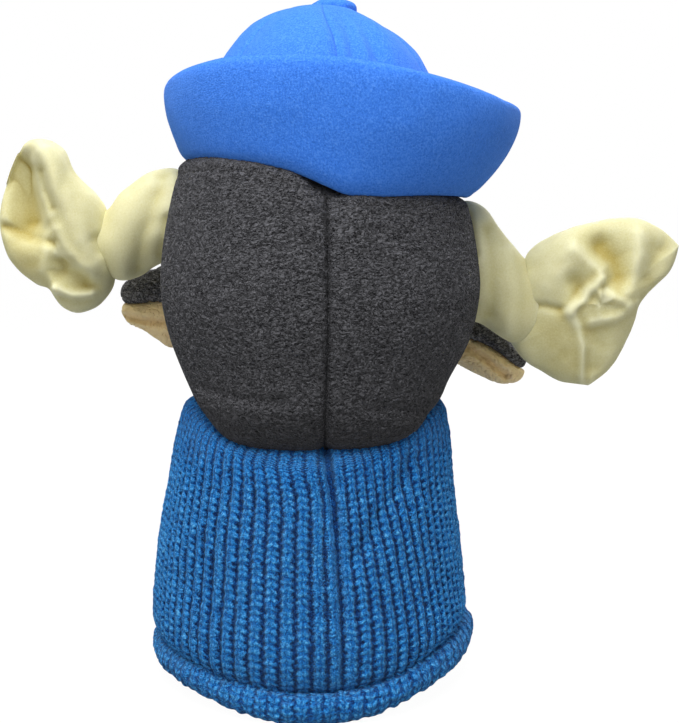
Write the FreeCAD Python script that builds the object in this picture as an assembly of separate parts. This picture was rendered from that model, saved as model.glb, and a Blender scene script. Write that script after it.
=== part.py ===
import FreeCAD
import Part
import math
import os

# A plush cover for a golf driver: a stuffed animal head on a rib-knit sock, with a turned-up hat.
# Millimetres, +Z up. The origin is the middle of the sock's mouth, on the surface that it stands on.
# The face looks along -Y. Left and right are the animal's own, so left is +X.
# A rise is measured from the sock's top, unless its note says otherwise.

# Rib-knit sock
SOCK_HEIGHT = 130.0          # to the middle of its top, where the head rests
SOCK_FOOT_RADIUS = 71.5      # outside of the knit, just above the hem
SOCK_SHOULDER_RADIUS = 62.0
SOCK_SHOULDER_DROP = 18.0    # where the rounded shoulder starts, below the top
SOCK_WALL = 4.0
HEM_HEIGHT = 13.0            # turned hem, knit doubled over
HEM_STAND_OUT = 2.5          # hem outside the knit above it
HEM_TURN_IN = 1.5            # hem inside the knit above it
HEM_EDGE_ROUND = 3.0
NECK_HOLE_RADIUS = 44.0      # opening in the sock's top

# Seat on which the head rocks, a barrel whose axis lies along X
SEAT_RADIUS = 90.0
SEAT_SIDE_CURVE = 323.0      # radius of the barrel's long curve

# Stuffed head
HEAD_HALF_WIDTH = 72.0
HEAD_WIDEST_RISE = 47.0
HEAD_SIDE_AT_SOCK = 0.745    # shares of the full width and depth, where the sock and the hat start
HEAD_SIDE_AT_HAT = 0.88
SIDE_ROUNDNESS = 1.6
HEAD_BACK_DEPTH = 63.5
HEAD_FRONT_DEPTH = 62.0
HEAD_FULLEST_RISE = 35.0     # where front and back bulge most
HEAD_DEPTH_AT_SOCK = 0.895
HEAD_DEPTH_AT_HAT = 0.95
DEPTH_ROUNDNESS = 3.0
HEAD_SECTIONS = 14
PLUSH = 2.5                  # plush fabric
SIDE_SEAM_DEPTH = -8.0       # Y of the seam between the face panel and the back panels

# Pocket that holds the club head
ROOT_FILLING = 6.1           # least filling between the pocket and an antler's hollow
DEPTH_FILLING = 7.0          # filling in front of and behind the pocket
TOP_FILLING = 32.0
POCKET_FLARE = 34.0          # height over which the pocket opens to its full size
POCKET_DOME = 65.0           # height of its domed top
LINING = 1.5
ELASTIC_WIDTH = 6.0
ELASTIC_THICKNESS = 2.0

# Hat, in its own frame, which is set down askew on the head
HAT_RISE = 93.4
HAT_SHIFT = -4.5             # along X
HAT_ROLL = -6.9              # about Y, the right side lower
HAT_PITCH = -4.8             # about X, the back lower
CROWN_RADIUS = 63.0
CROWN_CENTRE_RISE = 9.0      # above the hat's own origin
CROWN_EDGE = -2.0            # bottom edge of the crown panels
CROWN_PANELS = 6
FLEECE = 2.4
BUTTON_HOLE_RADIUS = 3.0
BUTTON_RADIUS = 10.5
BUTTON_RISE = 6.0
BRIM_THICKNESS = 4.6
BRIM_SIDE_FLARE = 10.5       # how far the rim stands outside the fold
BRIM_DEPTH_FLARE = 6.5
BRIM_RIM_SHIFT = -5.0        # the rim leans to the right
BRIM_SIDE_HEIGHT = 34.0
BRIM_BACK_HEIGHT = 48.0
BRIM_SECTIONS = 16

# Antlers. Roots are placed from the head's widest height, palms from their roots.
ANTLER_DEPTH = -6.0          # Y of the antlers' middle plane
ANTLER_ROOT_RADIUS = 17.0
ANTLER_SINK = 3.6            # how deep the root sits in the side of the head
ANTLER_WAIST_RADIUS = 12.0
ANTLER_CLOTH = 2.0
LEFT_ANTLER = {"root": 27.0, "out": 37.1, "up": -3.0, "half": (24.5, 16.0, 38.5), "lean": 14.0}
RIGHT_ANTLER = {"root": 10.0, "out": 40.2, "up": -20.0, "half": (38.0, 16.0, 37.0), "lean": 20.0}

# Ears, placed in the same way
EAR_DEPTH = -34.0
EAR_ROOT_RADIUS = 9.0
EAR_SINK = 1.8
EAR_NECK_RADIUS = 7.0
EAR_HALF = (15.0, 11.0, 12.5)
LEFT_EAR = {"root": -11.0, "out": 15.0, "up": -8.0}
RIGHT_EAR = {"root": -25.0, "out": 20.0, "up": -13.0}

# Muzzle and face
MUZZLE_RISE = 25.0
MUZZLE_SINK = 4.0            # its middle behind the head's foremost point
MUZZLE_HALF = (43.0, 41.0, 31.0)
MUZZLE_CLOTH = 2.0
STITCH = 0.8                 # height of embroidery above the cloth
NOSTRIL_SPREAD = 15.0        # from the muzzle's middle, as are the next rises
NOSTRIL_RISE = 11.0
NOSTRIL_HALF_WIDTH = 5.0
NOSTRIL_HALF_HEIGHT = 3.6
SMILE_RADIUS = 30.0
SMILE_WIDTH = 2.2
SMILE_CENTRE_RISE = 17.0
EYE_SPREAD = 25.0
EYE_BELOW_HAT = 24.4
EYE_RADIUS = 8.5
EYE_DOME = 5.5               # how far the dome stands out
EYE_POST_RADIUS = 2.4
EYE_POST_END = 0.8           # post beyond the washer
WASHER_RADIUS = 6.5
WASHER_THICKNESS = 1.4

# Clearances
BODY_GAP = 0.3               # between pieces that move apart
PIECE_GAP = 0.15             # between pieces that are sewn together
POST_GAP = 0.05              # round the eyes' posts

V = FreeCAD.Vector
X_AXIS = V(1, 0, 0)
Y_AXIS = V(0, 1, 0)
Z_AXIS = V(0, 0, 1)
CENTRE = V(0, 0, 0)
FAR = 400.0                  # larger than the whole cover


def block(low, high):
    """Box between two corners."""
    size = high - low
    return Part.makeBox(size.x, size.y, size.z, low)


def ball(radius, place, side=1):
    """Sphere whose surface seam faces the given side."""
    shape = Part.makeSphere(radius)
    if side < 0:
        shape.rotate(CENTRE, Z_AXIS, 180.0)
    shape.translate(place)
    return shape


def ellipsoid(centre, half, inset=0.0, lean=0.0, side=1):
    """Ellipsoid with its half axes along X, Y and Z, then leaned about Y. Its poles are on Y."""
    shape = ball(1.0, CENTRE, side)
    shape.rotate(CENTRE, X_AXIS, 90.0)
    matrix = FreeCAD.Matrix()
    matrix.scale(half[0] - inset, half[1] - inset, half[2] - inset)
    shape = shape.transformGeometry(matrix)
    shape.rotate(CENTRE, Y_AXIS, lean)
    shape.translate(centre)
    return shape


def tapered(start, start_radius, end, end_radius):
    """Cone frustum between two places."""
    way = end - start
    return Part.makeCone(start_radius, end_radius, way.Length, start, way)


def oval(height, half_width, front, back):
    """Closed smooth outline at one height, with its own depth to the front and to the back."""
    points = []
    count = 24
    for k in range(count):
        turn = 2.0 * math.pi * k / count
        depth = front if math.cos(turn) > 0 else back
        points.append(V(half_width * math.sin(turn), -depth * math.cos(turn), height))
    curve = Part.BSplineCurve()
    curve.interpolate(Points=points, PeriodicFlag=True)
    return Part.Wire([curve.toShape()])


def loft(sections):
    return Part.makeLoft(sections, True)


# ---------------------------------------------------------------- sock and seat

def seat_axis_height():
    return SOCK_HEIGHT - SEAT_RADIUS


def seat_profile(x, grow=0.0):
    """Radius of the barrel at a place along its axis."""
    return SEAT_RADIUS + grow - SEAT_SIDE_CURVE + math.sqrt(SEAT_SIDE_CURVE ** 2 - x ** 2)


def seat(grow=0.0):
    """Barrel along X on which the head rocks."""
    reach = 1.15 * max(SOCK_FOOT_RADIUS, HEAD_HALF_WIDTH)
    end = seat_profile(reach, grow)
    crown = Part.Arc(V(-reach, end, 0), V(0, SEAT_RADIUS + grow, 0), V(reach, end, 0)).toShape()
    corners = [V(reach, end, 0), V(reach, 0, 0), V(-reach, 0, 0), V(-reach, end, 0)]
    outline = Part.Wire([crown] + [Part.makeLine(a, b) for a, b in zip(corners, corners[1:])])
    barrel = Part.Face(outline).revolve(CENTRE, X_AXIS, 360.0)
    barrel.translate(V(0, 0, seat_axis_height()))
    return barrel


def seat_height(x, y, grow=0.0):
    """Height of the seat over a point."""
    return seat_axis_height() + math.sqrt(seat_profile(x, grow) ** 2 - y ** 2)


def sock_form(inset, foot):
    """Solid form of the sock's tube with rounded shoulders, before the seat shapes its top."""
    start = SOCK_HEIGHT - SOCK_SHOULDER_DROP
    slope = (SOCK_SHOULDER_RADIUS - SOCK_FOOT_RADIUS) / (start - HEM_HEIGHT)
    foot_radius = SOCK_FOOT_RADIUS - inset + slope * (foot - HEM_HEIGHT)
    shoulder = SOCK_SHOULDER_RADIUS - inset
    bend = 1.45 * SOCK_SHOULDER_DROP - inset
    half = math.sqrt(0.5)
    turn = Part.Arc(
        V(shoulder, 0, start),
        V(shoulder - bend * (1 - half), 0, start + bend * half),
        V(shoulder - bend, 0, start + bend)).toShape()
    corners = [V(shoulder - bend, 0, start + bend), V(0, 0, start + bend), V(0, 0, foot)]
    corners += [V(foot_radius, 0, foot), V(shoulder, 0, start)]
    outline = Part.Wire([turn] + [Part.makeLine(a, b) for a, b in zip(corners, corners[1:])])
    return Part.Face(outline).revolve(CENTRE, Z_AXIS, 360.0)


def make_sock_tube():
    outside = sock_form(0.0, HEM_HEIGHT).common(seat())
    inside = sock_form(SOCK_WALL, HEM_HEIGHT - 1.0).common(seat(-SOCK_WALL))
    neck = Part.makeCylinder(NECK_HOLE_RADIUS, FAR, V(0, 0, SOCK_HEIGHT - 2 * SOCK_SHOULDER_DROP))
    return outside.cut(inside).cut(neck)


def make_sock_hem():
    ring = Part.makeCylinder(SOCK_FOOT_RADIUS + HEM_STAND_OUT, HEM_HEIGHT)
    edges = [e for e in ring.Edges if isinstance(e.Curve, Part.Circle)]
    ring = ring.makeFillet(min(HEM_EDGE_ROUND, 0.45 * HEM_HEIGHT), edges)
    mouth_radius = SOCK_FOOT_RADIUS - SOCK_WALL - HEM_TURN_IN
    return ring.cut(Part.makeCylinder(mouth_radius, HEM_HEIGHT))


# ---------------------------------------------------------------- hat

def hat_height():
    return SOCK_HEIGHT + HAT_RISE


def set_on_head(shape):
    turn = FreeCAD.Rotation(Y_AXIS, HAT_ROLL).multiply(FreeCAD.Rotation(X_AXIS, HAT_PITCH))
    placed = shape.copy()
    placed.Placement = FreeCAD.Placement(V(HAT_SHIFT, 0, hat_height()), turn).multiply(placed.Placement)
    return placed


def crown_inside():
    """Radius of the crown's inner face."""
    return CROWN_RADIUS - FLEECE


def crown_mouth(grow=0.0):
    """Radius of the crown's opening at its bottom edge."""
    return math.sqrt((crown_inside() + grow) ** 2 - (CROWN_CENTRE_RISE - CROWN_EDGE) ** 2)


def brim_foot():
    """Lowest level of the brim, in the hat's own frame."""
    return CROWN_EDGE - PIECE_GAP - 0.8 * BRIM_THICKNESS


def make_crown_panels():
    """Equal gores of the crown, cut from one shell."""
    middle = V(0, 0, CROWN_CENTRE_RISE)
    shell = ball(CROWN_RADIUS, middle).cut(ball(crown_inside(), middle))
    shell = shell.cut(block(V(-FAR, -FAR, -FAR), V(FAR, FAR, CROWN_EDGE)))
    shell = shell.cut(Part.makeCylinder(BUTTON_HOLE_RADIUS, FAR))
    shell.rotate(CENTRE, Z_AXIS, 90.0)
    step = 2.0 * math.pi / CROWN_PANELS
    panels = []
    for k in range(CROWN_PANELS):
        first = 0.5 * math.pi + k * step
        edges = [V(FAR * math.cos(a), FAR * math.sin(a), -FAR) for a in (first, first + step)]
        foot = V(0, 0, -FAR)
        wedge = Part.Face(Part.makePolygon([foot] + edges + [foot])).extrude(V(0, 0, 2 * FAR))
        panels.append(set_on_head(shell.common(wedge)))
    return panels


def make_button():
    middle = V(0, 0, CROWN_CENTRE_RISE)
    top = V(0, 0, CROWN_CENTRE_RISE + CROWN_RADIUS - 1.0)
    dome = ellipsoid(top, (BUTTON_RADIUS, BUTTON_RADIUS, BUTTON_RISE))
    dome = dome.cut(ball(CROWN_RADIUS + PIECE_GAP, middle))
    foot = CROWN_CENTRE_RISE + crown_inside()
    shank = Part.makeCylinder(BUTTON_HOLE_RADIUS - BODY_GAP, FLEECE + 1.0, V(0, 0, foot))
    return set_on_head(dome.fuse(shank).removeSplitter())


def brim_section(turn):
    """Outline of the turned-up brim in the upright plane at one angle round the hat."""
    foot_radius = crown_mouth(FLEECE) + 0.8
    fold_radius = foot_radius + 0.8 * BRIM_THICKNESS
    half_width = fold_radius + BRIM_SIDE_FLARE
    half_depth = fold_radius + BRIM_DEPTH_FLARE
    rim = 1.0 / math.hypot(math.cos(turn) / half_width, math.sin(turn) / half_depth)
    rim += BRIM_RIM_SHIFT * math.cos(turn)
    height = BRIM_SIDE_HEIGHT + (BRIM_BACK_HEIGHT - BRIM_SIDE_HEIGHT) * math.sin(turn) ** 2
    top = CROWN_EDGE - PIECE_GAP
    low = brim_foot()
    outline = [
        (crown_mouth(), top),
        (crown_mouth(), low + 1.0),
        (crown_mouth() + 3.0, low),
        (fold_radius - 1.5, low),
        (fold_radius, low + 2.0),
        (rim, height - 2.0),
        (rim - BRIM_THICKNESS / 2, height),
        (rim - BRIM_THICKNESS, height - 2.0),
        (foot_radius, top),
    ]
    points = [V(r * math.cos(turn), r * math.sin(turn), z) for r, z in outline]
    return Part.makePolygon(points + [points[0]])


def make_brim():
    sections = [brim_section(2 * math.pi * k / BRIM_SECTIONS) for k in range(BRIM_SECTIONS)]
    return set_on_head(Part.makeLoft(sections, True, False, True))


def hat_room(grow=0.0):
    """What the hat keeps clear of the head: all above the brim's foot and outside the cap."""
    middle = V(0, 0, CROWN_CENTRE_RISE)
    top = ball(crown_inside() - PIECE_GAP - grow, middle)
    neck = Part.makeCylinder(crown_mouth() - PIECE_GAP - grow, FAR, middle - V(0, 0, FAR))
    around = Part.makeCylinder(FAR, FAR, V(0, 0, brim_foot() - PIECE_GAP - grow))
    return set_on_head(around.cut(top.fuse(neck)))


# ---------------------------------------------------------------- head

def swell(rise, fullest, share_at_sock, share_at_hat, roundness):
    """Share of the full size that the head has at a rise, drawn through its shares at sock and hat."""
    if rise > fullest:
        span, share = HAT_RISE - fullest, share_at_hat
    else:
        span, share = fullest + 0.55 * SOCK_SHOULDER_DROP, share_at_sock
    reach = span / (1.0 - share ** 2) ** (1.0 / roundness)
    return math.sqrt(max(0.0, 1.0 - (abs(rise - fullest) / reach) ** roundness))


def head_section(height, inset):
    """Half width, front and back of the head at a height. It goes straight up inside the hat."""
    rise = min(height, hat_height()) - SOCK_HEIGHT
    side = swell(rise, HEAD_WIDEST_RISE, HEAD_SIDE_AT_SOCK, HEAD_SIDE_AT_HAT, SIDE_ROUNDNESS)
    depth = swell(rise, HEAD_FULLEST_RISE, HEAD_DEPTH_AT_SOCK, HEAD_DEPTH_AT_HAT, DEPTH_ROUNDNESS)
    return HEAD_HALF_WIDTH * side - inset, HEAD_FRONT_DEPTH * depth - inset, HEAD_BACK_DEPTH * depth - inset


def head_form(inset=0.0):
    """Smooth closed form of the head up to and past the hat, before anything is cut from it."""
    low = SOCK_HEIGHT - 1.7 * SOCK_SHOULDER_DROP
    step = (hat_height() + CROWN_CENTRE_RISE + CROWN_RADIUS + 6.0 - low) / (HEAD_SECTIONS - 1)
    heights = [low + step * k for k in range(HEAD_SECTIONS)]
    return loft([oval(z, *head_section(z, inset)) for z in heights])


def elastic_foot():
    """Bottom edge of the neck elastic, just above the plush that lies on the seat."""
    return seat_height(NECK_HOLE_RADIUS + ELASTIC_THICKNESS, 0.0, BODY_GAP + PLUSH) + 1.0


def flare_start():
    return elastic_foot() + ELASTIC_WIDTH + 1.0


def pocket_top():
    return hat_height() + CROWN_CENTRE_RISE + crown_inside() - PLUSH - TOP_FILLING


def pocket_section(height, inset):
    flare = min(1.0, max(0.0, (height - flare_start()) / POCKET_FLARE))
    flare = flare * flare * (3.0 - 2.0 * flare)
    part = max(0.0, height - pocket_top() + POCKET_DOME) / POCKET_DOME
    dome = math.sqrt(max(0.0, 1.0 - part ** 2.2))
    full_width = HEAD_HALF_WIDTH - ANTLER_SINK - BODY_GAP - PLUSH - ROOT_FILLING
    full_depth = min(HEAD_FRONT_DEPTH, HEAD_BACK_DEPTH) - PLUSH - DEPTH_FILLING
    width = (NECK_HOLE_RADIUS + (full_width - NECK_HOLE_RADIUS) * flare) * dome - inset
    depth = (NECK_HOLE_RADIUS + (full_depth - NECK_HOLE_RADIUS) * flare) * dome - inset
    return width, depth, depth


def pocket_form(inset=0.0):
    """Solid form of the club pocket, from below the seat to its domed top."""
    start = flare_start()
    domed = pocket_top() - POCKET_DOME
    heights = [start - 2.2 * SOCK_SHOULDER_DROP, start - 1.1 * SOCK_SHOULDER_DROP, start]
    heights += [start + POCKET_FLARE * k / 3.0 for k in (1, 2, 3)]
    sections = [oval(z, *pocket_section(z, inset)) for z in heights]
    for share in (0.05, 0.3, 0.55, 0.75, 0.88, 0.95):
        height = domed + POCKET_DOME * share
        sections.append(oval(height - inset, *pocket_section(height, inset)))
    return loft(sections)


def side_surface(height, depth):
    """X of the head's side at a height and a depth."""
    half_width, front, back = head_section(height, 0.0)
    reach = back if depth > 0 else front
    return half_width * math.sqrt(1.0 - (depth / reach) ** 2)


def root_pivot(side, piece, depth, radius, sink):
    """Middle of the rounded root that an antler or an ear sits in the head with."""
    height = SOCK_HEIGHT + HEAD_WIDEST_RISE + piece["root"]
    return V(side * (side_surface(height, depth) + radius - sink), depth, height)


def antler_pivot(side):
    piece = LEFT_ANTLER if side > 0 else RIGHT_ANTLER
    return root_pivot(side, piece, ANTLER_DEPTH, ANTLER_ROOT_RADIUS, ANTLER_SINK)


def ear_pivot(side):
    piece = LEFT_EAR if side > 0 else RIGHT_EAR
    return root_pivot(side, piece, EAR_DEPTH, EAR_ROOT_RADIUS, EAR_SINK)


def carve(form, grow):
    """Cuts the seat, the hat's room and the four root hollows from a head form."""
    form = form.cut(seat(BODY_GAP + grow)).cut(hat_room(grow))
    for side in (1, -1):
        form = form.cut(ball(ANTLER_ROOT_RADIUS + BODY_GAP + grow, antler_pivot(side), side))
        form = form.cut(ball(EAR_ROOT_RADIUS + BODY_GAP + grow, ear_pivot(side), side))
    return form


def eye_placement(side):
    """Frame of an eye on the face, with its Z straight out of the plush."""
    height = hat_height() - EYE_BELOW_HAT
    half_width, front, _ = head_section(height, 0.0)
    x = side * EYE_SPREAD
    y = -front * math.sqrt(1.0 - (x / half_width) ** 2)
    out = V(x / half_width ** 2, y / front ** 2, 0)
    return FreeCAD.Placement(V(x, y, height), FreeCAD.Rotation(Z_AXIS, out))


def eye_rod(side, radius, out, into):
    """Cylinder along an eye's axis, from a height outside the plush to a depth in it."""
    shape = Part.makeCylinder(radius, out + into, V(0, 0, -into))
    shape.Placement = eye_placement(side).multiply(shape.Placement)
    return shape


def washer_seat():
    """Depth at which the eye washers start."""
    return PLUSH + 0.9


def washer_back():
    return washer_seat() + WASHER_THICKNESS


def make_head_panels():
    shell = carve(head_form(), 0.0).cut(carve(head_form(PLUSH), PLUSH)).cut(pocket_form(-PIECE_GAP))
    for side in (1, -1):
        shell = shell.cut(eye_rod(side, EYE_POST_RADIUS + POST_GAP, 5.0, washer_back() + 5.0))
    back_half = block(V(-FAR, SIDE_SEAM_DEPTH, -FAR), V(FAR, FAR, FAR))
    left_half = block(V(0, -FAR, -FAR), V(FAR, FAR, FAR))
    back = shell.common(back_half)
    return {
        "head_back_left": back.common(left_half),
        "head_back_right": back.cut(left_half),
        "head_face": shell.cut(back_half),
    }


def make_head_filling():
    inset = PLUSH + PIECE_GAP
    fill = carve(head_form(inset), inset).cut(pocket_form(-PIECE_GAP))
    for side in (1, -1):
        fill = fill.cut(eye_rod(side, WASHER_RADIUS + BODY_GAP, 0.0, washer_back() + EYE_POST_END + BODY_GAP))
    groove_radius = NECK_HOLE_RADIUS + ELASTIC_THICKNESS + 3 * PIECE_GAP
    groove_height = ELASTIC_WIDTH + 2 * PIECE_GAP
    return fill.cut(Part.makeCylinder(groove_radius, groove_height, V(0, 0, elastic_foot() - PIECE_GAP)))


def make_pocket_lining():
    return pocket_form().cut(pocket_form(LINING)).cut(seat(BODY_GAP))


def make_neck_elastic():
    inner = NECK_HOLE_RADIUS + 2 * PIECE_GAP
    ring = Part.makeCylinder(inner + ELASTIC_THICKNESS, ELASTIC_WIDTH, V(0, 0, elastic_foot()))
    return ring.cut(Part.makeCylinder(inner, ELASTIC_WIDTH, V(0, 0, elastic_foot())))


# ---------------------------------------------------------------- face

def make_eye(side):
    dome = ellipsoid(CENTRE, (EYE_RADIUS, EYE_RADIUS, EYE_DOME))
    dome.Placement = eye_placement(side).multiply(dome.Placement)
    dome = dome.cut(head_form(-PIECE_GAP))
    return dome.fuse(eye_rod(side, EYE_POST_RADIUS, 2.0, washer_back() + EYE_POST_END))


def make_eye_washer(side):
    disc = eye_rod(side, WASHER_RADIUS, -washer_seat(), washer_back())
    return disc.cut(eye_rod(side, EYE_POST_RADIUS + POST_GAP, 0.0, washer_back() + 1.0))


def muzzle_centre():
    return V(0, MUZZLE_SINK - HEAD_FRONT_DEPTH, SOCK_HEIGHT + MUZZLE_RISE)


def muzzle_form(inset=0.0):
    return ellipsoid(muzzle_centre(), MUZZLE_HALF, inset)


def make_muzzle():
    cover = muzzle_form().cut(muzzle_form(MUZZLE_CLOTH)).cut(head_form(-PIECE_GAP))
    filling = muzzle_form(MUZZLE_CLOTH + PIECE_GAP).cut(head_form(-PIECE_GAP))
    return cover, filling


def embroidery():
    """Thin layer over the front of the muzzle, from which the stitched details are cut."""
    layer = muzzle_form(-STITCH).cut(muzzle_form(-PIECE_GAP / 3))
    return layer.common(block(V(-FAR, -FAR, -FAR), V(FAR, muzzle_centre().y - 0.3 * MUZZLE_HALF[1], FAR)))


def make_nostril(side, layer):
    matrix = FreeCAD.Matrix()
    matrix.scale(NOSTRIL_HALF_WIDTH, 1.0, NOSTRIL_HALF_HEIGHT)
    punch = Part.makeCylinder(1.0, FAR, V(0, -FAR, 0), Y_AXIS).transformGeometry(matrix)
    punch.translate(muzzle_centre() + V(side * NOSTRIL_SPREAD, 0, NOSTRIL_RISE))
    return layer.common(punch)


def make_smile(layer):
    foot = V(0, -FAR, muzzle_centre().z + SMILE_CENTRE_RISE)
    outer = Part.makeCylinder(SMILE_RADIUS + SMILE_WIDTH / 2, FAR, foot, Y_AXIS)
    inner = Part.makeCylinder(SMILE_RADIUS - SMILE_WIDTH / 2, FAR, foot, Y_AXIS)
    low = block(V(-FAR, -FAR, -FAR), V(FAR, FAR, foot.z - 0.72 * SMILE_RADIUS))
    return layer.common(outer.cut(inner)).common(low)


# ---------------------------------------------------------------- ears and antlers

def antler_form(side, piece, inset=0.0):
    pivot = antler_pivot(side)
    centre = pivot + V(side * piece["out"], 0, piece["up"])
    root = ball(ANTLER_ROOT_RADIUS - inset, pivot, side)
    stem = tapered(pivot, ANTLER_ROOT_RADIUS - inset - 0.5, centre, ANTLER_WAIST_RADIUS - inset)
    palm = ellipsoid(centre, piece["half"], inset, side * piece["lean"], side)
    return root.fuse(stem).fuse(palm)


def make_antler(side, piece):
    """Front and back cloth, sewn round the edge, and the filling inside."""
    cloth = antler_form(side, piece).cut(antler_form(side, piece, ANTLER_CLOTH))
    back_half = block(V(-FAR, ANTLER_DEPTH, -FAR), V(FAR, FAR, FAR))
    return {
        "back": cloth.common(back_half),
        "front": cloth.cut(back_half),
        "filling": antler_form(side, piece, ANTLER_CLOTH + PIECE_GAP),
    }


def make_ear(side, piece):
    """Plush back above and smooth lining below, sewn along the edge."""
    pivot = ear_pivot(side)
    way = V(side * piece["out"], 0, piece["up"])
    centre = pivot + way + V(0, -2.0, 0)
    leaf = ellipsoid(centre, EAR_HALF, 0.0, 0.0, side)
    neck = tapered(pivot, EAR_ROOT_RADIUS - 0.5, centre, EAR_NECK_RADIUS)
    whole = ball(EAR_ROOT_RADIUS, pivot, side).fuse(neck).fuse(leaf)
    above = block(V(-FAR, -FAR, 0), V(FAR, FAR, FAR))
    above.rotate(CENTRE, Y_AXIS, -math.degrees(math.atan2(side * way.z, side * way.x)))
    above.translate(pivot)
    return whole.common(above), whole.cut(above)


def build():
    pieces = {
        "sock_tube": make_sock_tube(),
        "sock_hem": make_sock_hem(),
        "neck_elastic": make_neck_elastic(),
        "pocket_lining": make_pocket_lining(),
        "head_filling": make_head_filling(),
        "hat_brim": make_brim(),
        "hat_button": make_button(),
    }
    pieces.update(make_head_panels())
    for k, panel in enumerate(make_crown_panels()):
        pieces["hat_crown_panel_%d" % (k + 1)] = panel
    pieces["muzzle_cover"], pieces["muzzle_filling"] = make_muzzle()
    layer = embroidery()
    pieces["mouth_stitching"] = make_smile(layer)
    sides = ((1, "left", LEFT_ANTLER, LEFT_EAR), (-1, "right", RIGHT_ANTLER, RIGHT_EAR))
    for side, name, antler, ear in sides:
        pieces["eye_" + name] = make_eye(side)
        pieces["eye_washer_" + name] = make_eye_washer(side)
        pieces["nostril_" + name] = make_nostril(side, layer)
        for part, shape in make_antler(side, antler).items():
            pieces["antler_%s_%s" % (name, part)] = shape
        pieces["ear_%s_back" % name], pieces["ear_%s_lining" % name] = make_ear(side, ear)
    return pieces


def main():
    os.makedirs("parts", exist_ok=True)
    for name, shape in sorted(build().items()):
        print("%-20s %d solid, %9.0f mm3" % (name, len(shape.Solids), shape.Volume))
        Part.makeCompound(shape.Solids).exportStep("parts/%s.step" % name)


if __name__ == "__main__":
    main()
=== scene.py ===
import math

import bmesh
import bpy
import numpy as np
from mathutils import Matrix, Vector


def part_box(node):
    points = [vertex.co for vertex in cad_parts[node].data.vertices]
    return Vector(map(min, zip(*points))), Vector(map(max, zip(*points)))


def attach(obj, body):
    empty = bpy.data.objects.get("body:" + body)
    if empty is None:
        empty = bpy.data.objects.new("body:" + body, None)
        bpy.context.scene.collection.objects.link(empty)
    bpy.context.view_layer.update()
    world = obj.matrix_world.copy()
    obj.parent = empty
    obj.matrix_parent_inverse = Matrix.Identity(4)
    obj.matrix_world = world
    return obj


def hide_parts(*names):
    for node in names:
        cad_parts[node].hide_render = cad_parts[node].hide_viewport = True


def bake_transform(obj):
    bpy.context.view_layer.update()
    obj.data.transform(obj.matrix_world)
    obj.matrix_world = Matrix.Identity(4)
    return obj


# Plush driver cover: stuffed animal head with a turned-up fleece hat, on a rib-knit sock.
# Shapes are worked out in millimetres, in the CAD frame, and go to metres in makeMesh.
# The face looks along -Y. Left and right are the animal's own, so left is +X.

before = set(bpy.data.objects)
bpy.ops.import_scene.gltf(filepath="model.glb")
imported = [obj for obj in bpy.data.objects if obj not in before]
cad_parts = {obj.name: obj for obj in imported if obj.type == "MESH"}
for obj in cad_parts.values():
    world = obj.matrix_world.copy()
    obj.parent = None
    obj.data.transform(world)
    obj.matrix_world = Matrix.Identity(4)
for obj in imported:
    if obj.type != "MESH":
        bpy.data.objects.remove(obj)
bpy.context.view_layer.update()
metre = 0.001
print("frame loaded:", len(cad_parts), "nodes")


# Shaping helpers

def smoothStep(value, low, high):
    t = np.clip((value - low) / (high - low), 0, 1)
    return t * t * (3 - 2 * t)


def hump(value, centre, width):
    return np.exp(-((value - centre) / width) ** 2)


def lumps(points, size, seed):
    # smooth random heights from -1 to 1, with lumps about size mm across, repeating every 24 lumps
    cells = 24
    table = np.random.RandomState(seed).uniform(-1, 1, (cells, cells, cells))
    at = points / np.array(size, float) + 10.0 * cells
    cell = np.floor(at).astype(int)
    part = at - cell
    part = part * part * (3 - 2 * part)
    total = 0.0
    for corner in np.ndindex(2, 2, 2):
        weight = np.prod(np.where(corner, part, 1 - part), axis=-1)
        spot = (cell + corner) % cells
        total = total + weight * table[spot[..., 0], spot[..., 1], spot[..., 2]]
    return total


def throughPoints(points, count, closed=False):
    # smooth line through a few points, evenly spaced along its length
    steps = 24
    points = np.array(points, float)
    if closed:
        padded = np.vstack([points[-1:], points, points[:2]])
    else:
        padded = np.vstack([2 * points[0] - points[1], points, 2 * points[-1] - points[-2]])
    line = []
    for k in range(len(padded) - 3):
        a, b, c, d = padded[k:k + 4]
        for t in np.linspace(0, 1, steps, endpoint=False):
            line.append(0.5 * (2 * b + (c - a) * t + (2 * a - 5 * b + 4 * c - d) * t ** 2
                               + (3 * b - 3 * c + d - a) * t ** 3))
    line.append(padded[-2])
    line = np.array(line)
    reach = np.concatenate([[0], np.cumsum(np.linalg.norm(np.diff(line, axis=0), axis=1))])
    wanted = np.linspace(0, reach[-1], count, endpoint=not closed)
    return np.stack([np.interp(wanted, reach, line[:, k]) for k in range(line.shape[1])], -1)


def fullTurn(count):
    # angles once round, across a grid
    return np.linspace(0, 2 * math.pi, count, endpoint=False)[None, :]


def poleToPole(count):
    # angles from one pole to the other, down a grid
    return np.linspace(0, math.pi, count)[:, None]


def gridOf(x, y, z):
    return np.stack(np.broadcast_arrays(x, y, z), -1)


def pushed(grid, normal, move):
    return grid + normal * move[..., None]


def outward(grid, closed, inside):
    # unit normals of a grid of points, turned away from a point inside it
    if closed:
        across = np.roll(grid, -1, 1) - np.roll(grid, 1, 1)
    else:
        across = np.gradient(grid, axis=1)
    normal = np.cross(across, np.gradient(grid, axis=0))
    normal /= np.linalg.norm(normal, axis=-1, keepdims=True) + 1e-9
    return normal * np.sign((normal * (grid - np.array(inside))).sum())


def pile(points, tuft, seed):
    # 0 in the gaps between curls of pile and 1 on their tips
    bent = points + 1.1 * np.stack([lumps(points, 5.5, seed + k) for k in (1, 2, 3)], -1)
    return smoothStep(np.abs(lumps(bent, tuft, seed + 4)), 0.0, 0.3)


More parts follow.
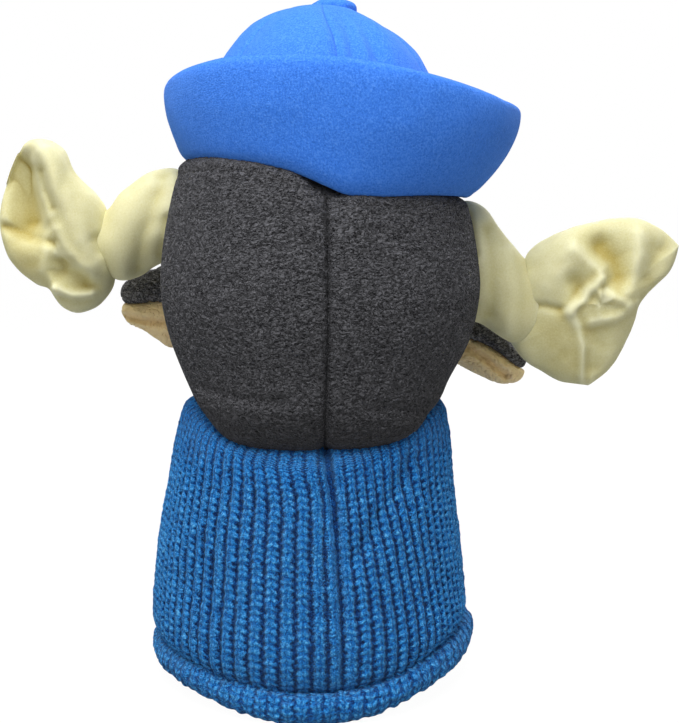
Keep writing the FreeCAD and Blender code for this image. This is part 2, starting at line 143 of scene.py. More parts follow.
def hollowness(grid, normal, passes):
    # how far each point lies below its smoothed surroundings, for grids closed across
    soft = grid.copy()
    for _ in range(passes):
        around = np.roll(soft, 1, 1) + np.roll(soft, -1, 1)
        above = np.vstack([soft[:1], soft[:-1]])
        below = np.vstack([soft[1:], soft[-1:]])
        soft = (around + above + below) / 4
    return ((soft - grid) * normal).sum(-1)


def distanceTo(path, x, z):
    # distance from points to a run of straight lines
    nearest = np.full(np.shape(x), 1e9)
    for (ax, az), (bx, bz) in zip(path, path[1:]):
        length = (bx - ax) ** 2 + (bz - az) ** 2
        t = np.clip(((x - ax) * (bx - ax) + (z - az) * (bz - az)) / length, 0, 1)
        nearest = np.minimum(nearest, np.hypot(x - ax - t * (bx - ax), z - az - t * (bz - az)))
    return nearest


def strokesAt(strokes, x, z, amount="lift"):
    # ridges, hollows or tones along runs of lines, fading out over each stroke's width
    total = np.zeros(np.shape(x))
    for stroke in strokes:
        total = total + stroke[amount] * hump(distanceTo(stroke["path"], x, z), 0, stroke["width"])
    return total


# Mesh helpers

def gridFaces(rows, columns, closed, first=0):
    # four-sided faces of a grid, whose last column meets its first if it is closed
    across = columns if closed else columns - 1
    r, c = np.meshgrid(np.arange(rows - 1), np.arange(across), indexing="ij")
    n = (c + 1) % columns
    quads = [r * columns + c, r * columns + n, (r + 1) * columns + n, (r + 1) * columns + c]
    return np.stack(quads, -1).reshape(-1, 4) + first


def gridCorners(rows, columns, closed, across, along):
    # texture coordinates of each face's corners, in real units across and along
    width = columns if closed else columns - 1
    r, c = np.meshgrid(np.arange(rows - 1), np.arange(width), indexing="ij")
    corners = []
    for dr, dc in ((0, 0), (0, 1), (1, 1), (1, 0)):
        corners.append(np.stack([(c + dc) / width * across, (r + dr) / (rows - 1) * along], -1))
    return np.stack(corners, -2).reshape(-1, 2)


def makeMesh(name, points, faces, material, corners=None, marks=None):
    mesh = bpy.data.meshes.new(name)
    mesh.from_pydata((np.asarray(points).reshape(-1, 3) * metre).tolist(), [], faces)
    if corners is not None:
        layer = mesh.uv_layers.new(name="cloth")
        full = np.zeros((len(mesh.loops), 2))
        full[:len(corners)] = corners
        layer.data.foreach_set("uv", full.ravel())
    for mark, values in (marks or {}).items():
        attribute = mesh.attributes.new(mark, "FLOAT", "POINT")
        full = np.zeros(len(mesh.vertices))
        full[:values.size] = values.ravel()
        attribute.data.foreach_set("value", full)
    mesh.polygons.foreach_set("use_smooth", np.ones(len(mesh.polygons), bool))
    mesh.materials.append(material)
    piece = bpy.data.objects.new(name, mesh)
    bpy.context.scene.collection.objects.link(piece)
    turnOutward(piece)
    return piece


def turnOutward(piece):
    # all faces look away from the inside of the cloth
    work = bmesh.new()
    work.from_mesh(piece.data)
    bmesh.ops.recalc_face_normals(work, faces=work.faces)
    work.to_mesh(piece.data)
    work.free()


def joinEdges(outer, inner):
    # triangles between an edge of many points and one of fewer
    step = (len(outer) - 1) // (len(inner) - 1)
    faces = []
    for k in range(len(inner) - 1):
        for j in range(step):
            near = inner[k] if j < step / 2 else inner[k + 1]
            faces.append((outer[k * step + j], outer[k * step + j + 1], near))
        faces.append((outer[k * step + math.ceil(step / 2)], inner[k + 1], inner[k]))
    return faces


def makeShell(name, outer, inner, closed, material, corners=None, marks=None):
    # cloth with a finely shaped outside and a plainer inside, joined round its edges
    rows, columns = outer.shape[:2]
    innerRows, innerColumns = inner.shape[:2]
    first = rows * columns
    faces = gridFaces(rows, columns, closed).tolist()
    faces += gridFaces(innerRows, innerColumns, closed, first).tolist()
    a = np.arange(first).reshape(rows, columns)
    b = np.arange(innerRows * innerColumns).reshape(innerRows, innerColumns) + first
    if closed:
        a = np.hstack([a, a[:, :1]])
        b = np.hstack([b, b[:, :1]])
    else:
        faces += joinEdges(a[:, 0], b[:, 0]) + joinEdges(a[:, -1], b[:, -1])
    faces += joinEdges(a[0], b[0]) + joinEdges(a[-1], b[-1])
    points = np.vstack([outer.reshape(-1, 3), inner.reshape(-1, 3)])
    return makeMesh(name, points, faces, material, corners, marks)


def makeForm(name, grid, material, marks=None):
    # closed form from rings, whose first and last ring shrink to a point
    rings, spokes = grid.shape[:2]
    poles = np.array([grid[0].mean(0), grid[-1].mean(0)])
    body = grid[1:-1]
    faces = gridFaces(rings - 2, spokes, True).tolist()
    top, bottom = (rings - 2) * spokes, (rings - 2) * spokes + 1
    last = (rings - 3) * spokes
    for k in range(spokes):
        n = (k + 1) % spokes
        faces.append((top, n, k))
        faces.append((bottom, last + k, last + n))
    points = np.vstack([body.reshape(-1, 3), poles])
    marks = {mark: values[1:-1] for mark, values in (marks or {}).items()}
    return makeMesh(name, points, faces, material, marks=marks)


# Materials

def toLinear(code):
    parts = [int(code[k:k + 2], 16) / 255 for k in (1, 3, 5)]
    return [p / 12.92 if p <= 0.04045 else ((p + 0.055) / 1.055) ** 2.4 for p in parts] + [1.0]


def newMaterial(name, **settings):
    material = bpy.data.materials.new(name)
    material.use_nodes = True
    shader = material.node_tree.nodes["Principled BSDF"]
    for socket, value in settings.items():
        shader.inputs[socket.replace("_", " ")].default_value = value
    return material, material.node_tree, shader


def addNode(tree, kind, links=None, stops=None, **settings):
    node = tree.nodes.new("ShaderNode" + kind)
    for key, value in settings.items():
        setattr(node, key, value)
    for socket, value in (links or {}).items():
        if isinstance(value, bpy.types.NodeSocket):
            tree.links.new(value, node.inputs[socket])
        else:
            node.inputs[socket].default_value = value
    if stops:
        ramp = node.color_ramp
        while len(ramp.elements) < len(stops):
            ramp.elements.new(0.5)
        for element, (place, code) in zip(ramp.elements, stops):
            element.position = place
            element.color = toLinear(code)
    return node


def finishSurface(tree, shader, tone, stops, height, strength, depth):
    # colour from a tone, and relief of a depth in millimetres from a height
    colour = addNode(tree, "ValToRGB", {0: tone}, stops=stops).outputs["Color"]
    tree.links.new(colour, shader.inputs["Base Color"])
    bump = addNode(tree, "Bump", {"Height": height, "Strength": strength, "Distance": depth * metre})
    tree.links.new(bump.outputs["Normal"], shader.inputs["Normal"])


def perMetre(size):
    # noise scale that gives grains of a size in millimetres
    return 1.0 / (size * metre)


def place(tree):
    return addNode(tree, "TexCoord").outputs["Object"]


# Acrylic rib knit, worsted yarn: columns of slanted stitches with painted light on their tops,
# with painted shade in the furrows between the ribs and a fuzzy halo
ribKnit = {
    "colours": [(0.0, "#02153E"), (0.3, "#083F8A"), (0.56, "#1B7DD2"), (0.8, "#3AA2F2"), (1.0, "#7CD2FF")],
    "fibre": 0.65,      # mm, coarser than the real fibres so that they show
    "slant": 1.1,       # how steeply the two legs of a stitch lean
    "wander": 0.65,     # how far stitches stray, in ribs and rows
    "wanderSize": 2.4,  # mm from one stray to the next
    "flatFrom": 0.092,  # metres up the tube, where the ribs begin to be stretched flat
    "flatTo": 0.118,
    "depth": 1.2,       # mm of relief that the yarn adds to the mesh
}


def makeRibKnit(name, furrow):
    # furrow is 1 for the open tube and less where the ribs are rolled close together; less of it weakens
    # the painted furrow shade and paints the whole knit lighter
    material, tree, shader = newMaterial(
        name, Roughness=0.9, Sheen_Weight=0.45, Sheen_Roughness=0.45, Specular_IOR_Level=0.1)
    shader.inputs["Sheen Tint"].default_value = toLinear("#8CC6F0")
    flat = addNode(tree, "UVMap", uv_map="cloth").outputs["UV"]
    grain = addNode(tree, "TexNoise", {"Vector": place(tree), "Scale": perMetre(ribKnit["wanderSize"]),
                                       "Detail": 4.0, "Roughness": 0.7})
    wander = addNode(tree, "VectorMath", {0: grain.outputs["Color"], 1: (0.5, 0.5, 0.5)},
                     operation="SUBTRACT").outputs[0]
    wander = addNode(tree, "VectorMath", {0: wander, "Scale": ribKnit["wander"]},
                     operation="SCALE").outputs[0]
    cloth = addNode(tree, "VectorMath", {0: flat, 1: wander}, operation="ADD").outputs[0]
    # neighbouring ribs are out of step with each other
    column = addNode(tree, "VectorMath", {0: cloth, 1: (1, 0, 0)}, operation="MULTIPLY").outputs[0]
    column = addNode(tree, "VectorMath", {0: column}, operation="FLOOR").outputs[0]
    step = addNode(tree, "TexWhiteNoise", {"Vector": column}).outputs["Value"]
    step = addNode(tree, "CombineXYZ", {"Y": step}).outputs[0]
    cloth = addNode(tree, "VectorMath", {0: cloth, 1: step}, operation="ADD").outputs[0]
    # each rib is a chain of stitches, whose two legs slant up from its middle
    parts = addNode(tree, "SeparateXYZ", {0: cloth}).outputs
    rib = addNode(tree, "Math", {0: parts["X"]}, operation="FRACT").outputs[0]
    rib = addNode(tree, "Math", {0: rib, 1: 0.5}, operation="SUBTRACT").outputs[0]
    rib = addNode(tree, "Math", {0: rib}, operation="ABSOLUTE").outputs[0]
    slant = addNode(tree, "Math", {0: rib, 1: ribKnit["slant"], 2: parts["Y"]},
                    operation="MULTIPLY_ADD").outputs[0]
    turn = addNode(tree, "Math", {0: slant, 1: 2 * math.pi}, operation="MULTIPLY").outputs[0]
    strand = addNode(tree, "Math", {0: turn}, operation="SINE").outputs[0]
    strand = addNode(tree, "MapRange", {"Value": strand, "From Min": -0.75, "From Max": 0.7},
                     interpolation_type="SMOOTHSTEP").outputs[0]
    edge = addNode(tree, "Math", {0: strand, 1: -0.08, 2: rib}, operation="MULTIPLY_ADD").outputs[0]
    onRib = addNode(tree, "MapRange", {"Value": edge, "From Min": 0.4, "From Max": 0.2},
                    interpolation_type="SMOOTHSTEP").outputs[0]
    split = addNode(tree, "MapRange", {"Value": rib, "From Min": 0.0, "From Max": 0.1,
                                       "To Min": 0.35, "To Max": 1.0}).outputs[0]
    yarn = addNode(tree, "Math", {0: strand, 1: 0.6, 2: 0.4}, operation="MULTIPLY_ADD").outputs[0]
    yarn = addNode(tree, "Math", {0: yarn, 1: split}, operation="MULTIPLY").outputs[0]
    purl = addNode(tree, "Math", {0: strand, 1: 0.3, 2: 0.5 - 0.5 * furrow},
                   operation="MULTIPLY_ADD").outputs[0]
    height = addNode(tree, "Mix", {0: onRib, 2: purl, 3: yarn}).outputs[0]
    fibre = addNode(tree, "TexNoise", {"Vector": place(tree), "Scale": perMetre(ribKnit["fibre"]),
                                       "Detail": 4.0, "Roughness": 0.75}).outputs["Fac"]
    # each stitch takes the light a little differently
    stitch = addNode(tree, "VectorMath", {0: cloth}, operation="FLOOR").outputs[0]
    chance = addNode(tree, "TexWhiteNoise", {"Vector": stitch}).outputs["Value"]
    # ribs are stretched nearly flat where the sock runs in under the head
    up = addNode(tree, "SeparateXYZ", {0: place(tree)}).outputs["Z"]
    flatTop = addNode(tree, "MapRange", {"Value": up, "From Min": ribKnit["flatFrom"],
                                         "From Max": ribKnit["flatTo"], "To Max": 0.55}).outputs[0]
    onRib = addNode(tree, "Mix", {0: flatTop, 2: onRib, 3: 0.6}).outputs[0]
    height = addNode(tree, "Mix", {0: flatTop, 2: height, 3: 0.45}).outputs[0]
    # painted light and shade: the tone rises where the yarn stands high and falls into painted shade in the
    # furrows and purl
    rest = 0.24 * (1 - furrow) - 0.02
    shade = addNode(tree, "Math", {0: height, 1: 0.46, 2: rest}, operation="MULTIPLY_ADD").outputs[0]
    shade = addNode(tree, "Math", {0: onRib, 1: 0.24 * furrow, 2: shade},
                    operation="MULTIPLY_ADD").outputs[0]
    shade = addNode(tree, "Math", {0: chance, 1: 0.1, 2: shade}, operation="MULTIPLY_ADD").outputs[0]
    fuzz = addNode(tree, "MapRange", {"Value": fibre, "From Min": 0.32, "From Max": 0.68,
                                      "To Min": -0.33, "To Max": 0.36}).outputs[0]
    tone = addNode(tree, "Math", {0: shade, 1: fuzz}, operation="ADD").outputs[0]
    relief = addNode(tree, "Math", {0: fibre, 1: 0.8, 2: height}, operation="MULTIPLY_ADD").outputs[0]
    finishSurface(tree, shader, tone, ribKnit["colours"], relief, 1.0, ribKnit["depth"])
    return material


# Polyester plush, short curly pile: matt, with painted shade in the gaps between the curls and painted
# light on their tips
plush = {
    "colours": [(0.0, "#060607"), (0.3, "#2B2B2E"), (0.65, "#5C5C60"), (1.0, "#96969B")],
    "curl": 1.05,       # mm across a curl
    "fibre": 0.5,       # mm, coarser than the real fibres
    "depth": 1.1,       # mm of relief
}


def makePlush():
    material, tree, shader = newMaterial(
        "curlyPlush", Roughness=0.95, Sheen_Weight=0.5, Sheen_Roughness=0.45, Specular_IOR_Level=0.08)
    shader.inputs["Sheen Tint"].default_value = toLinear("#A5A5AA")
    spot = place(tree)
    # the pile mark is the curls' tips, with painted shade added on the head and painted light on the ears
    pileMark = addNode(tree, "Attribute", attribute_name="pile").outputs["Fac"]
    # curls lie longer across the cloth than up and down
    lying = addNode(tree, "Mapping", {"Vector": spot, "Scale": (0.62, 0.62, 1.25)}).outputs[0]
    gaps = []
    # painted shade in thin gaps that run between curls of two sizes
    for size, width in ((plush["curl"], 0.085), (plush["curl"] * 1.45, 0.06)):
        curls = addNode(tree, "TexNoise", {"Vector": lying, "Scale": perMetre(size), "Detail": 1.0,
                                           "Roughness": 0.6, "Distortion": 0.7}).outputs["Fac"]
        curls = addNode(tree, "Math", {0: curls, 1: 0.5}, operation="SUBTRACT").outputs[0]
        curls = addNode(tree, "Math", {0: curls}, operation="ABSOLUTE").outputs[0]
        curls = addNode(tree, "MapRange", {"Value": curls, "From Max": width},
                        interpolation_type="SMOOTHSTEP").outputs[0]
        gaps.append(curls)
    curls = addNode(tree, "Math", {0: gaps[0], 1: gaps[1]}, operation="MINIMUM").outputs[0]
    fibres = addNode(tree, "TexNoise", {"Vector": spot, "Scale": perMetre(plush["fibre"]),
                                        "Detail": 2.0}).outputs["Fac"]
    fine = addNode(tree, "MapRange", {"Value": fibres, "From Min": 0.3, "From Max": 0.7,
                                      "To Min": -0.06, "To Max": 0.07}).outputs[0]
    # painted light on the curls' tips and painted shade in the gaps between them
    tone = addNode(tree, "Math", {0: pileMark, 1: 0.1, 2: fine}, operation="MULTIPLY_ADD").outputs[0]
    tone = addNode(tree, "Math", {0: curls, 1: 0.55, 2: tone}, operation="MULTIPLY_ADD").outputs[0]
    relief = addNode(tree, "Math", {0: fibres, 1: 0.25, 2: curls}, operation="MULTIPLY_ADD").outputs[0]
    finishSurface(tree, shader, tone, plush["colours"], relief, 1.0, plush["depth"])
    return material


# Polar fleece, brushed: even colour, very fine felted grain, a soft bloom at grazing angles
fleece = {
    "colours": [(0.3, "#2B69D6"), (0.5, "#4184F2"), (0.7, "#62A0FC")],
    "grain": 0.8,       # mm, coarser than the real felted fibres so that it shows
    "nap": 2.2,         # mm across the cloudy patches of nap
    "depth": 0.9,
}


def makeFleece():
    material, tree, shader = newMaterial(
        "brushedFleece", Roughness=0.95, Sheen_Weight=0.35, Sheen_Roughness=0.5, Specular_IOR_Level=0.1)
    shader.inputs["Sheen Tint"].default_value = toLinear("#8DB8FF")
    spot = place(tree)
    grain = addNode(tree, "TexNoise", {"Vector": spot, "Scale": perMetre(fleece["grain"]), "Detail": 4.0,
                                       "Roughness": 0.7}).outputs["Fac"]
    nap = addNode(tree, "TexNoise", {"Vector": spot, "Scale": perMetre(fleece["nap"]),
                                     "Detail": 2.0}).outputs["Fac"]
    both = addNode(tree, "Mix", {0: 0.12, 2: grain, 3: nap}).outputs[0]
    finishSurface(tree, shader, both, fleece["colours"], both, 0.8, fleece["depth"])
    return material


# Velboa, a shorn polyester pile: smooth and milky, with painted shade, warmer and darker, down in its folds
# fold is the colour of the painted shade deepest in the folds
velboaCream = {"name": "velboaCream", "light": "#DDDAB4", "mid": "#CBC594", "fold": "#AA9A55", "nap": 0.8}
velboaTan = {"name": "velboaTan", "light": "#FAE2B4", "mid": "#E8D09E", "fold": "#B29664", "nap": 0.9}


def makeVelboa(look):
    material, tree, shader = newMaterial(
        look["name"], Roughness=0.75, Sheen_Weight=0.3, Sheen_Roughness=0.4, Specular_IOR_Level=0.25,
        Subsurface_Weight=0.3, Subsurface_Scale=0.004)
    shader.inputs["Subsurface Radius"].default_value = (1.0, 0.9, 0.6)
    shader.inputs["Sheen Tint"].default_value = toLinear(look["light"])
    spot = place(tree)
    # the mesh is marked with how deep each point lies in a fold, which the colour turns into painted shade
    fold = addNode(tree, "Attribute", attribute_name="fold").outputs["Fac"]
    paintedFoldShade = addNode(tree, "MapRange", {"Value": fold, "From Min": -0.5, "From Max": 0.95}).outputs[0]
    nap = addNode(tree, "TexNoise", {"Vector": spot, "Scale": perMetre(look["nap"]), "Detail": 3.0,
                                     "Roughness": 0.6}).outputs["Fac"]
    napShade = addNode(tree, "MapRange", {"Value": nap, "From Min": 0.3, "From Max": 0.7,
                                          "To Min": -0.1, "To Max": 0.1}).outputs[0]
    tone = addNode(tree, "Math", {0: paintedFoldShade, 1: napShade}, operation="ADD").outputs[0]
    stops = [(0.0, look["light"]), (0.42, look["mid"]), (1.0, look["fold"])]
    finishSurface(tree, shader, tone, stops, nap, 0.35, 0.35)
    return material


# Plain materials of the hidden and hard pieces: a base colour, a grain and its relief
def makePlain(name, dark, light, grain, relief, **settings):
    material, tree, shader = newMaterial(name, **settings)
    noise = addNode(tree, "TexNoise", {"Vector": place(tree), "Scale": perMetre(grain),
                                       "Detail": 3.0}).outputs["Fac"]
    finishSurface(tree, shader, noise, [(0.3, dark), (0.7, light)], noise, 0.5, relief)
    return material


ribKnitBlue = makeRibKnit("acrylicRibKnit", 1.0)
# the rolled hem's copy has weaker painted furrow shade and is painted lighter throughout
hemKnitBlue = makeRibKnit("acrylicRibKnitRolled", 0.65)
plushGrey = makePlush()
fleeceBlue = makeFleece()
creamCloth = makeVelboa(velboaCream)
tanCloth = makeVelboa(velboaTan)
# Acrylic dome, injection moulded: deep black with one sharp window of light
eyeBlack = makePlain("mouldedAcrylicEye", "#020203", "#060607", 6.0, 0.01, Roughness=0.1,
                     Specular_IOR_Level=0.3)
# Polypropylene disc, moulded: dull white
washerWhite = makePlain("mouldedPolypropylene", "#D9D8D3", "#E6E5E0", 3.0, 0.05, Roughness=0.5)
# Rayon embroidery thread: black with a silky glint across the stitches
threadBlack = makePlain("rayonThread", "#0C0C0E", "#25252A", 0.6, 0.2, Roughness=0.45, Sheen_Weight=0.2)
# Polyester fibrefill: cloudy white
fibrefill = makePlain("polyesterFibrefill", "#DDDCD8", "#F4F4F1", 1.8, 0.8, Roughness=0.95)
# Tricot lining: thin black knit with a faint shine
liningBlack = makePlain("tricotLining", "#101012", "#26262A", 0.8, 0.25, Roughness=0.6, Sheen_Weight=0.3)
# Braided elastic: off-white cords side by side
elasticWhite = makePlain("braidedElastic", "#CFCDC6", "#ECEAE4", 0.8, 0.3, Roughness=0.8)
print("materials ready")


# Head form, shared by all that lies on it

head = {
    "sockTop": 130.0,
    "halfWidth": 72.0,
    "back": 63.5,
    "front": 62.0,
    "hatRise": 93.4,
    "shoulderDrop": 18.0,
    "sideFullest": 47.0,      # rise above the sock where the sides are widest
    "sideShares": (0.745, 0.88),   # of the full width, at the sock and at the hat
    "sideRoundness": 1.6,
    "depthFullest": 35.0,
    "depthShares": (0.895, 0.95),
    "depthRoundness": 3.0,
    "rearBulge": (6.0, 168.0, 34.0),  # how far, at what height and how wide
    "seamShift": -4.0,        # X of the back seam
    "sideSeam": -8.0,         # Y of the seams between back and face
    "seamDepth": 3.4,
    "seamRound": 7.0,
    "roundUnder": 5.5,        # corner radius where the plush turns in under the head
    "tuckUnder": 12.0,        # plush that lies on the sock
    "intoHat": 9.0,           # plush that runs up inside the hat
    "cloth": 3.0,
    "puff": 1.6,              # how much each panel swells between its seams
}
seatCurve = {"axis": 40.0, "radius": 90.0, "long": 323.0}
hat = {
    "foldMiddle": -4.5,       # X of the middle of the lower fold
    "foldHalf": (63.5, 61.5),
    "rimMiddle": -10.2,
    "rimHalf": (76.8, 70.4),
    # heights round the hat from the left side, by the back and the right to the front
    "turns": (0, 40, 62, 76, 86, 97, 110, 135, 180, 225, 270, 315, 360),
    "foldHeights": (231, 230.5, 228.5, 225.6, 221.4, 216.2, 215.4, 216.2, 215.8, 219, 224, 228.5, 231),
    "rimTurns": (0, 30, 55, 75, 90, 114, 132, 150, 172, 198, 225, 270, 315, 360),
    "rimHeights": (261, 265, 267.5, 266.8, 265.6, 260.6, 256.6, 253, 252, 259, 265, 268, 266, 261),
}
crown = {
    # radius and height from the button down to the hidden edge
    "line": [(2.0, 296.6), (10.0, 295.6), (19.5, 292.4), (31.2, 285.2), (41.0, 275.4), (48.0, 264.0),
             (53.0, 252.0), (56.5, 240.0), (58.0, 230.0)],
    "middle": -1.8,
    "lean": 0.04,             # shift to the right for each mm down
    "leanTop": 275.0,
    "gores": 6,
    "seamTurn": 8.0,          # degrees that the seams are turned round
    "seamRound": 3.5,
    "seamDepth": 0.9,
    "puff": 0.9,              # how much each gore swells between its seams
    "fleece": 2.4,
    "footHalf": (61.0, 58.5),  # inside of the brim, where the crown is sewn to it
    # soft creases beside the back seam
    "creases": [{"path": [(-10.0, 294.0), (-14.0, 279.0), (-17.5, 260.0)], "width": 3.3, "lift": -2.6},
                {"path": [(-15.0, 292.0), (-22.5, 277.0), (-28.0, 260.0)], "width": 3.3, "lift": -2.4},
                {"path": [(-7.5, 291.0), (-8.0, 262.0)], "width": 3.3, "lift": -1.0}],
}


def aroundHat(turn, heights, turns):
    # smooth height round the hat from its values at a few turns
    degrees = np.degrees(turn) % 360
    fine = np.linspace(0, 360, 721)
    raw = np.interp(fine, hat[turns], hat[heights])
    kernel = np.hanning(27)
    soft = np.convolve(np.concatenate([raw[-40:-1], raw, raw[1:40]]), kernel / kernel.sum(), "same")
    return np.interp(degrees, fine, soft[39:-39])


def hatFold(x, y):
    # height of the hat's lower fold over a point of the head
    turn = np.arctan2(y / hat["foldHalf"][1], (x - hat["foldMiddle"]) / hat["foldHalf"][0])
    return aroundHat(turn, "foldHeights", "turns")


def swell(rise, fullest, shares, roundness):
    # share of the full width or depth at a rise above the sock
    above = rise > fullest
    span = np.where(above, head["hatRise"] - fullest, fullest + 0.55 * head["shoulderDrop"])
    share = np.where(above, shares[1], shares[0])
    reach = span / (1 - share ** 2) ** (1 / roundness)
    return np.sqrt(np.clip(1 - (np.abs(rise - fullest) / reach) ** roundness, 0, 1))


def headRadii(height):
    rise = np.minimum(height, head["sockTop"] + head["hatRise"]) - head["sockTop"]
    side = swell(rise, head["sideFullest"], head["sideShares"], head["sideRoundness"])
    depth = swell(rise, head["depthFullest"], head["depthShares"], head["depthRoundness"])
    return head["halfWidth"] * side, head["front"] * depth, head["back"] * depth


def headPoint(turn, height, inset=0.0):
    # turn 0 is the middle of the face, and a quarter turn is the left side
    width, front, back = headRadii(height)
    depth = np.where(np.cos(turn) > 0, front, back)
    slump = smoothStep(height, 148, 112)
    # each side is drawn in a little, more so over the sock
    leftSlack = 0.968 - 0.012 * hump(height, 134, 14)
    rightSlack = 0.982 - 0.05 * hump(height, 134, 13)
    slack = np.where(np.sin(turn) > 0, leftSlack, rightSlack)
    x = width * (slack + 0.07 * smoothStep(height, 124, 110)) * np.sin(turn)
    y = -depth * (1 + 0.09 * slump * (np.cos(turn) < 0)) * np.cos(turn)
    # the stuffing bags out over the sock at the two rear corners
    bag = 0.085 * hump(turn, 0.77 * math.pi, 0.34) + 0.05 * hump(turn, 1.23 * math.pi, 0.34)
    x = x * (1 + bag * slump)
    y = y * (1 + bag * slump)
    share = 1 - inset / np.hypot(x, y)
    return gridOf(x * share, y * share, height)


def underCrown(grid, room):
    # drawn in above the hat's fold, so that nothing shows past the crown's fleece
    x, y, z = grid[..., 0], grid[..., 1], grid[..., 2]
    radii, heights = np.transpose(crown["line"])
    reach = np.interp(-z, -heights, radii)
    middle = crown["middle"] - crown["lean"] * np.clip(crown["leanTop"] - z, 0, None)
    share = np.clip((reach - room) / np.hypot(x - middle, y), None, 1)
    share = 1 + (share - 1) * smoothStep(z, 196, 210)
    return np.stack([middle + (x - middle) * share, y * share, z], -1)


def seatHeight(x, y):
    barrel = seatCurve["radius"] - seatCurve["long"] + np.sqrt(seatCurve["long"] ** 2 - x ** 2)
    return seatCurve["axis"] + np.sqrt(np.clip(barrel ** 2 - y ** 2, 1, None))


def makeHeadPanel(name, node, seams, columns, rows, tuft, seed):
    # one plush panel from seam to seam, tucked under at the sock and up into the hat
    turn = np.linspace(*seams, columns)
    low = np.full(columns, 115.0)
    for _ in range(12):
        spot = headPoint(turn, low + 3)
        low = seatHeight(spot[:, 0], spot[:, 1]) + 0.8
    spot = headPoint(turn, low + 90)
    top = hatFold(spot[:, 0], spot[:, 1])
    corner, tuck, intoHat = head["roundUnder"], head["tuckUnder"], head["intoHat"]
    share = np.linspace(0, 1, rows)[:, None]
    sideLength = top - low - corner
    full = tuck + corner * math.pi / 2 + sideLength + intoHat
    s = share * full[None, :]
    angle = np.clip((s - tuck) / corner, 0, math.pi / 2)
    up = np.clip(s - tuck - corner * math.pi / 2, 0, None)
    height = low + corner * (1 - np.cos(angle)) + up
    inset = np.clip(tuck - s, 0, None) + corner * (1 - np.sin(angle))
    inset = inset + 7.0 * smoothStep(height - top, -5.0, 3.0) + 3.0 * smoothStep(height - top, 2.0, 8.0)
    grid = headPoint(turn[None, :], height, inset)
    flat = s < tuck
    resting = seatHeight(grid[..., 0], grid[..., 1]) + 0.8
    grid[..., 2] = np.where(flat, resting, grid[..., 2])
    normal = outward(grid, False, (0, 0, 170))
    gap = np.linalg.norm(np.diff(grid, axis=1), axis=-1)
    along = np.hstack([np.zeros((rows, 1)), np.cumsum(gap, axis=1)])
    nearest = np.minimum(along, along[:, -1:] - along)
    roll = np.clip(1 - nearest / head["seamRound"], 0, 1)
    swollen = head["puff"] * (1 - (2 * along / along[:, -1:] - 1) ** 2)
    move = swollen - head["seamDepth"] * (1 - np.sqrt(1 - roll ** 2 * 0.98))
    move = move * smoothStep(top - height, -4, 14)
    base = pushed(grid, normal, move)
    move = 0.9 * lumps(base, 34.0, seed) * smoothStep(height, 118, 140)
    bulge, bulgeHeight, bulgeWidth = head["rearBulge"]
    behind = smoothStep(-np.cos(turn), 0.1, 0.9)[None, :]
    move = move + bulge * hump(height, bulgeHeight, bulgeWidth) * behind
    # stuffing creases low on the panel, where the plush is drawn in to the sock
    fold = np.sin(turn)[None, :] * 6 + 2 * lumps(base, 30.0, seed + 5)
    rear = smoothStep(np.abs(np.cos(turn)), 0.35, 0.75)[None, :]
    move = move - 1.3 * hump(height, 131 + fold, 2.4) * smoothStep(nearest, 4, 26) * rear
    move = move + 0.7 * hump(height, 124 + fold, 5.0) * smoothStep(nearest, 4, 20) * rear
    move = move - 5.0 * hump(nearest, 0, 8) * smoothStep(top - height, 15, 2) * rear
    pileMark = pile(base, tuft, seed)
    move = move + 0.45 * pileMark - 0.3
    outer = pushed(base, normal, move)
    inner = (base - normal * head["cloth"])[::4, ::4]
    # painted shade darkens the pile where it turns in under the head, under the hat and at the seams
    pileAndPaintedShade = pileMark - 2.4 * smoothStep(height, 141, 112) - 1.2 * smoothStep(top - height, 5, 0)
    pileAndPaintedShade = pileAndPaintedShade - 3.0 * hump(nearest, 0, 1.3) * rear
    piece = makeShell(name, outer, inner, False, plushGrey, marks={"pile": pileAndPaintedShade})
    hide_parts(node)
    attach(piece, "head")


backSeam = math.pi - math.asin(head["seamShift"] / 64.0)     # 64 mm is the reach of the back at the seam
sideSeam = math.acos(-head["sideSeam"] / head["front"])
headPanels = [
    {"node": "head_back_left", "seams": (sideSeam, backSeam), "columns": 281, "rows": 325,
     "tuft": (1.8, 1.8, 1.2), "seed": 11},
    {"node": "head_back_right", "seams": (backSeam, 2 * math.pi - sideSeam), "columns": 265, "rows": 325,
     "tuft": (1.6, 1.6, 1.4), "seed": 31},
    {"node": "head_face", "seams": (-sideSeam, sideSeam), "columns": 325, "rows": 257,
     "tuft": (1.9, 1.9, 1.6), "seed": 51},
]
for panel in headPanels:
    makeHeadPanel(panel["node"] + "_plush", **panel)
print("head panels sewn")


# Stuffing and pocket, inside the plush

pocket = {
    "neck": 44.0,
    "foot": 120.0,
    "start": 137.5,           # height where it begins to flare
    "flare": 34.0,
    "top": 258.5,
    "dome": 65.0,             # height of the domed top
    "width": 59.5,
    "depth": 52.5,
    "lining": 1.5,
    "crownRoom": (8.2, 7.0),  # least distance from the crown's outside, inside and outside the lining
}
stuffing = {"foot": 121.0, "top": 250.0, "inset": 9.0, "lump": 18.0, "crownRoom": (4.8, 6.4)}
elastic = {"cords": 5, "swell": 0.25, "thick": 1.8}


def pocketRadii(height):
    flare = smoothStep(height, pocket["start"], pocket["start"] + pocket["flare"])
    part = np.clip(height - pocket["top"] + pocket["dome"], 0, None) / pocket["dome"]
    dome = np.sqrt(np.clip(1 - part ** 2.2, 0, 1))
    width = (pocket["neck"] + (pocket["width"] - pocket["neck"]) * flare) * dome
    depth = (pocket["neck"] + (pocket["depth"] - pocket["neck"]) * flare) * dome
    return width, depth


def pocketGrid(rows, columns, inset):
    turn = fullTurn(columns)
    climb = pocket["top"] - 3.4 - pocket["foot"]
    height = (pocket["foot"] + climb * np.sin(np.linspace(0, 0.5 * math.pi, rows)))[:, None]
    width, depth = pocketRadii(height)
    x = (width - inset) * np.sin(turn)
    y = -(depth - inset) * np.cos(turn)
    return gridOf(x, y, height - inset * (height > 240))


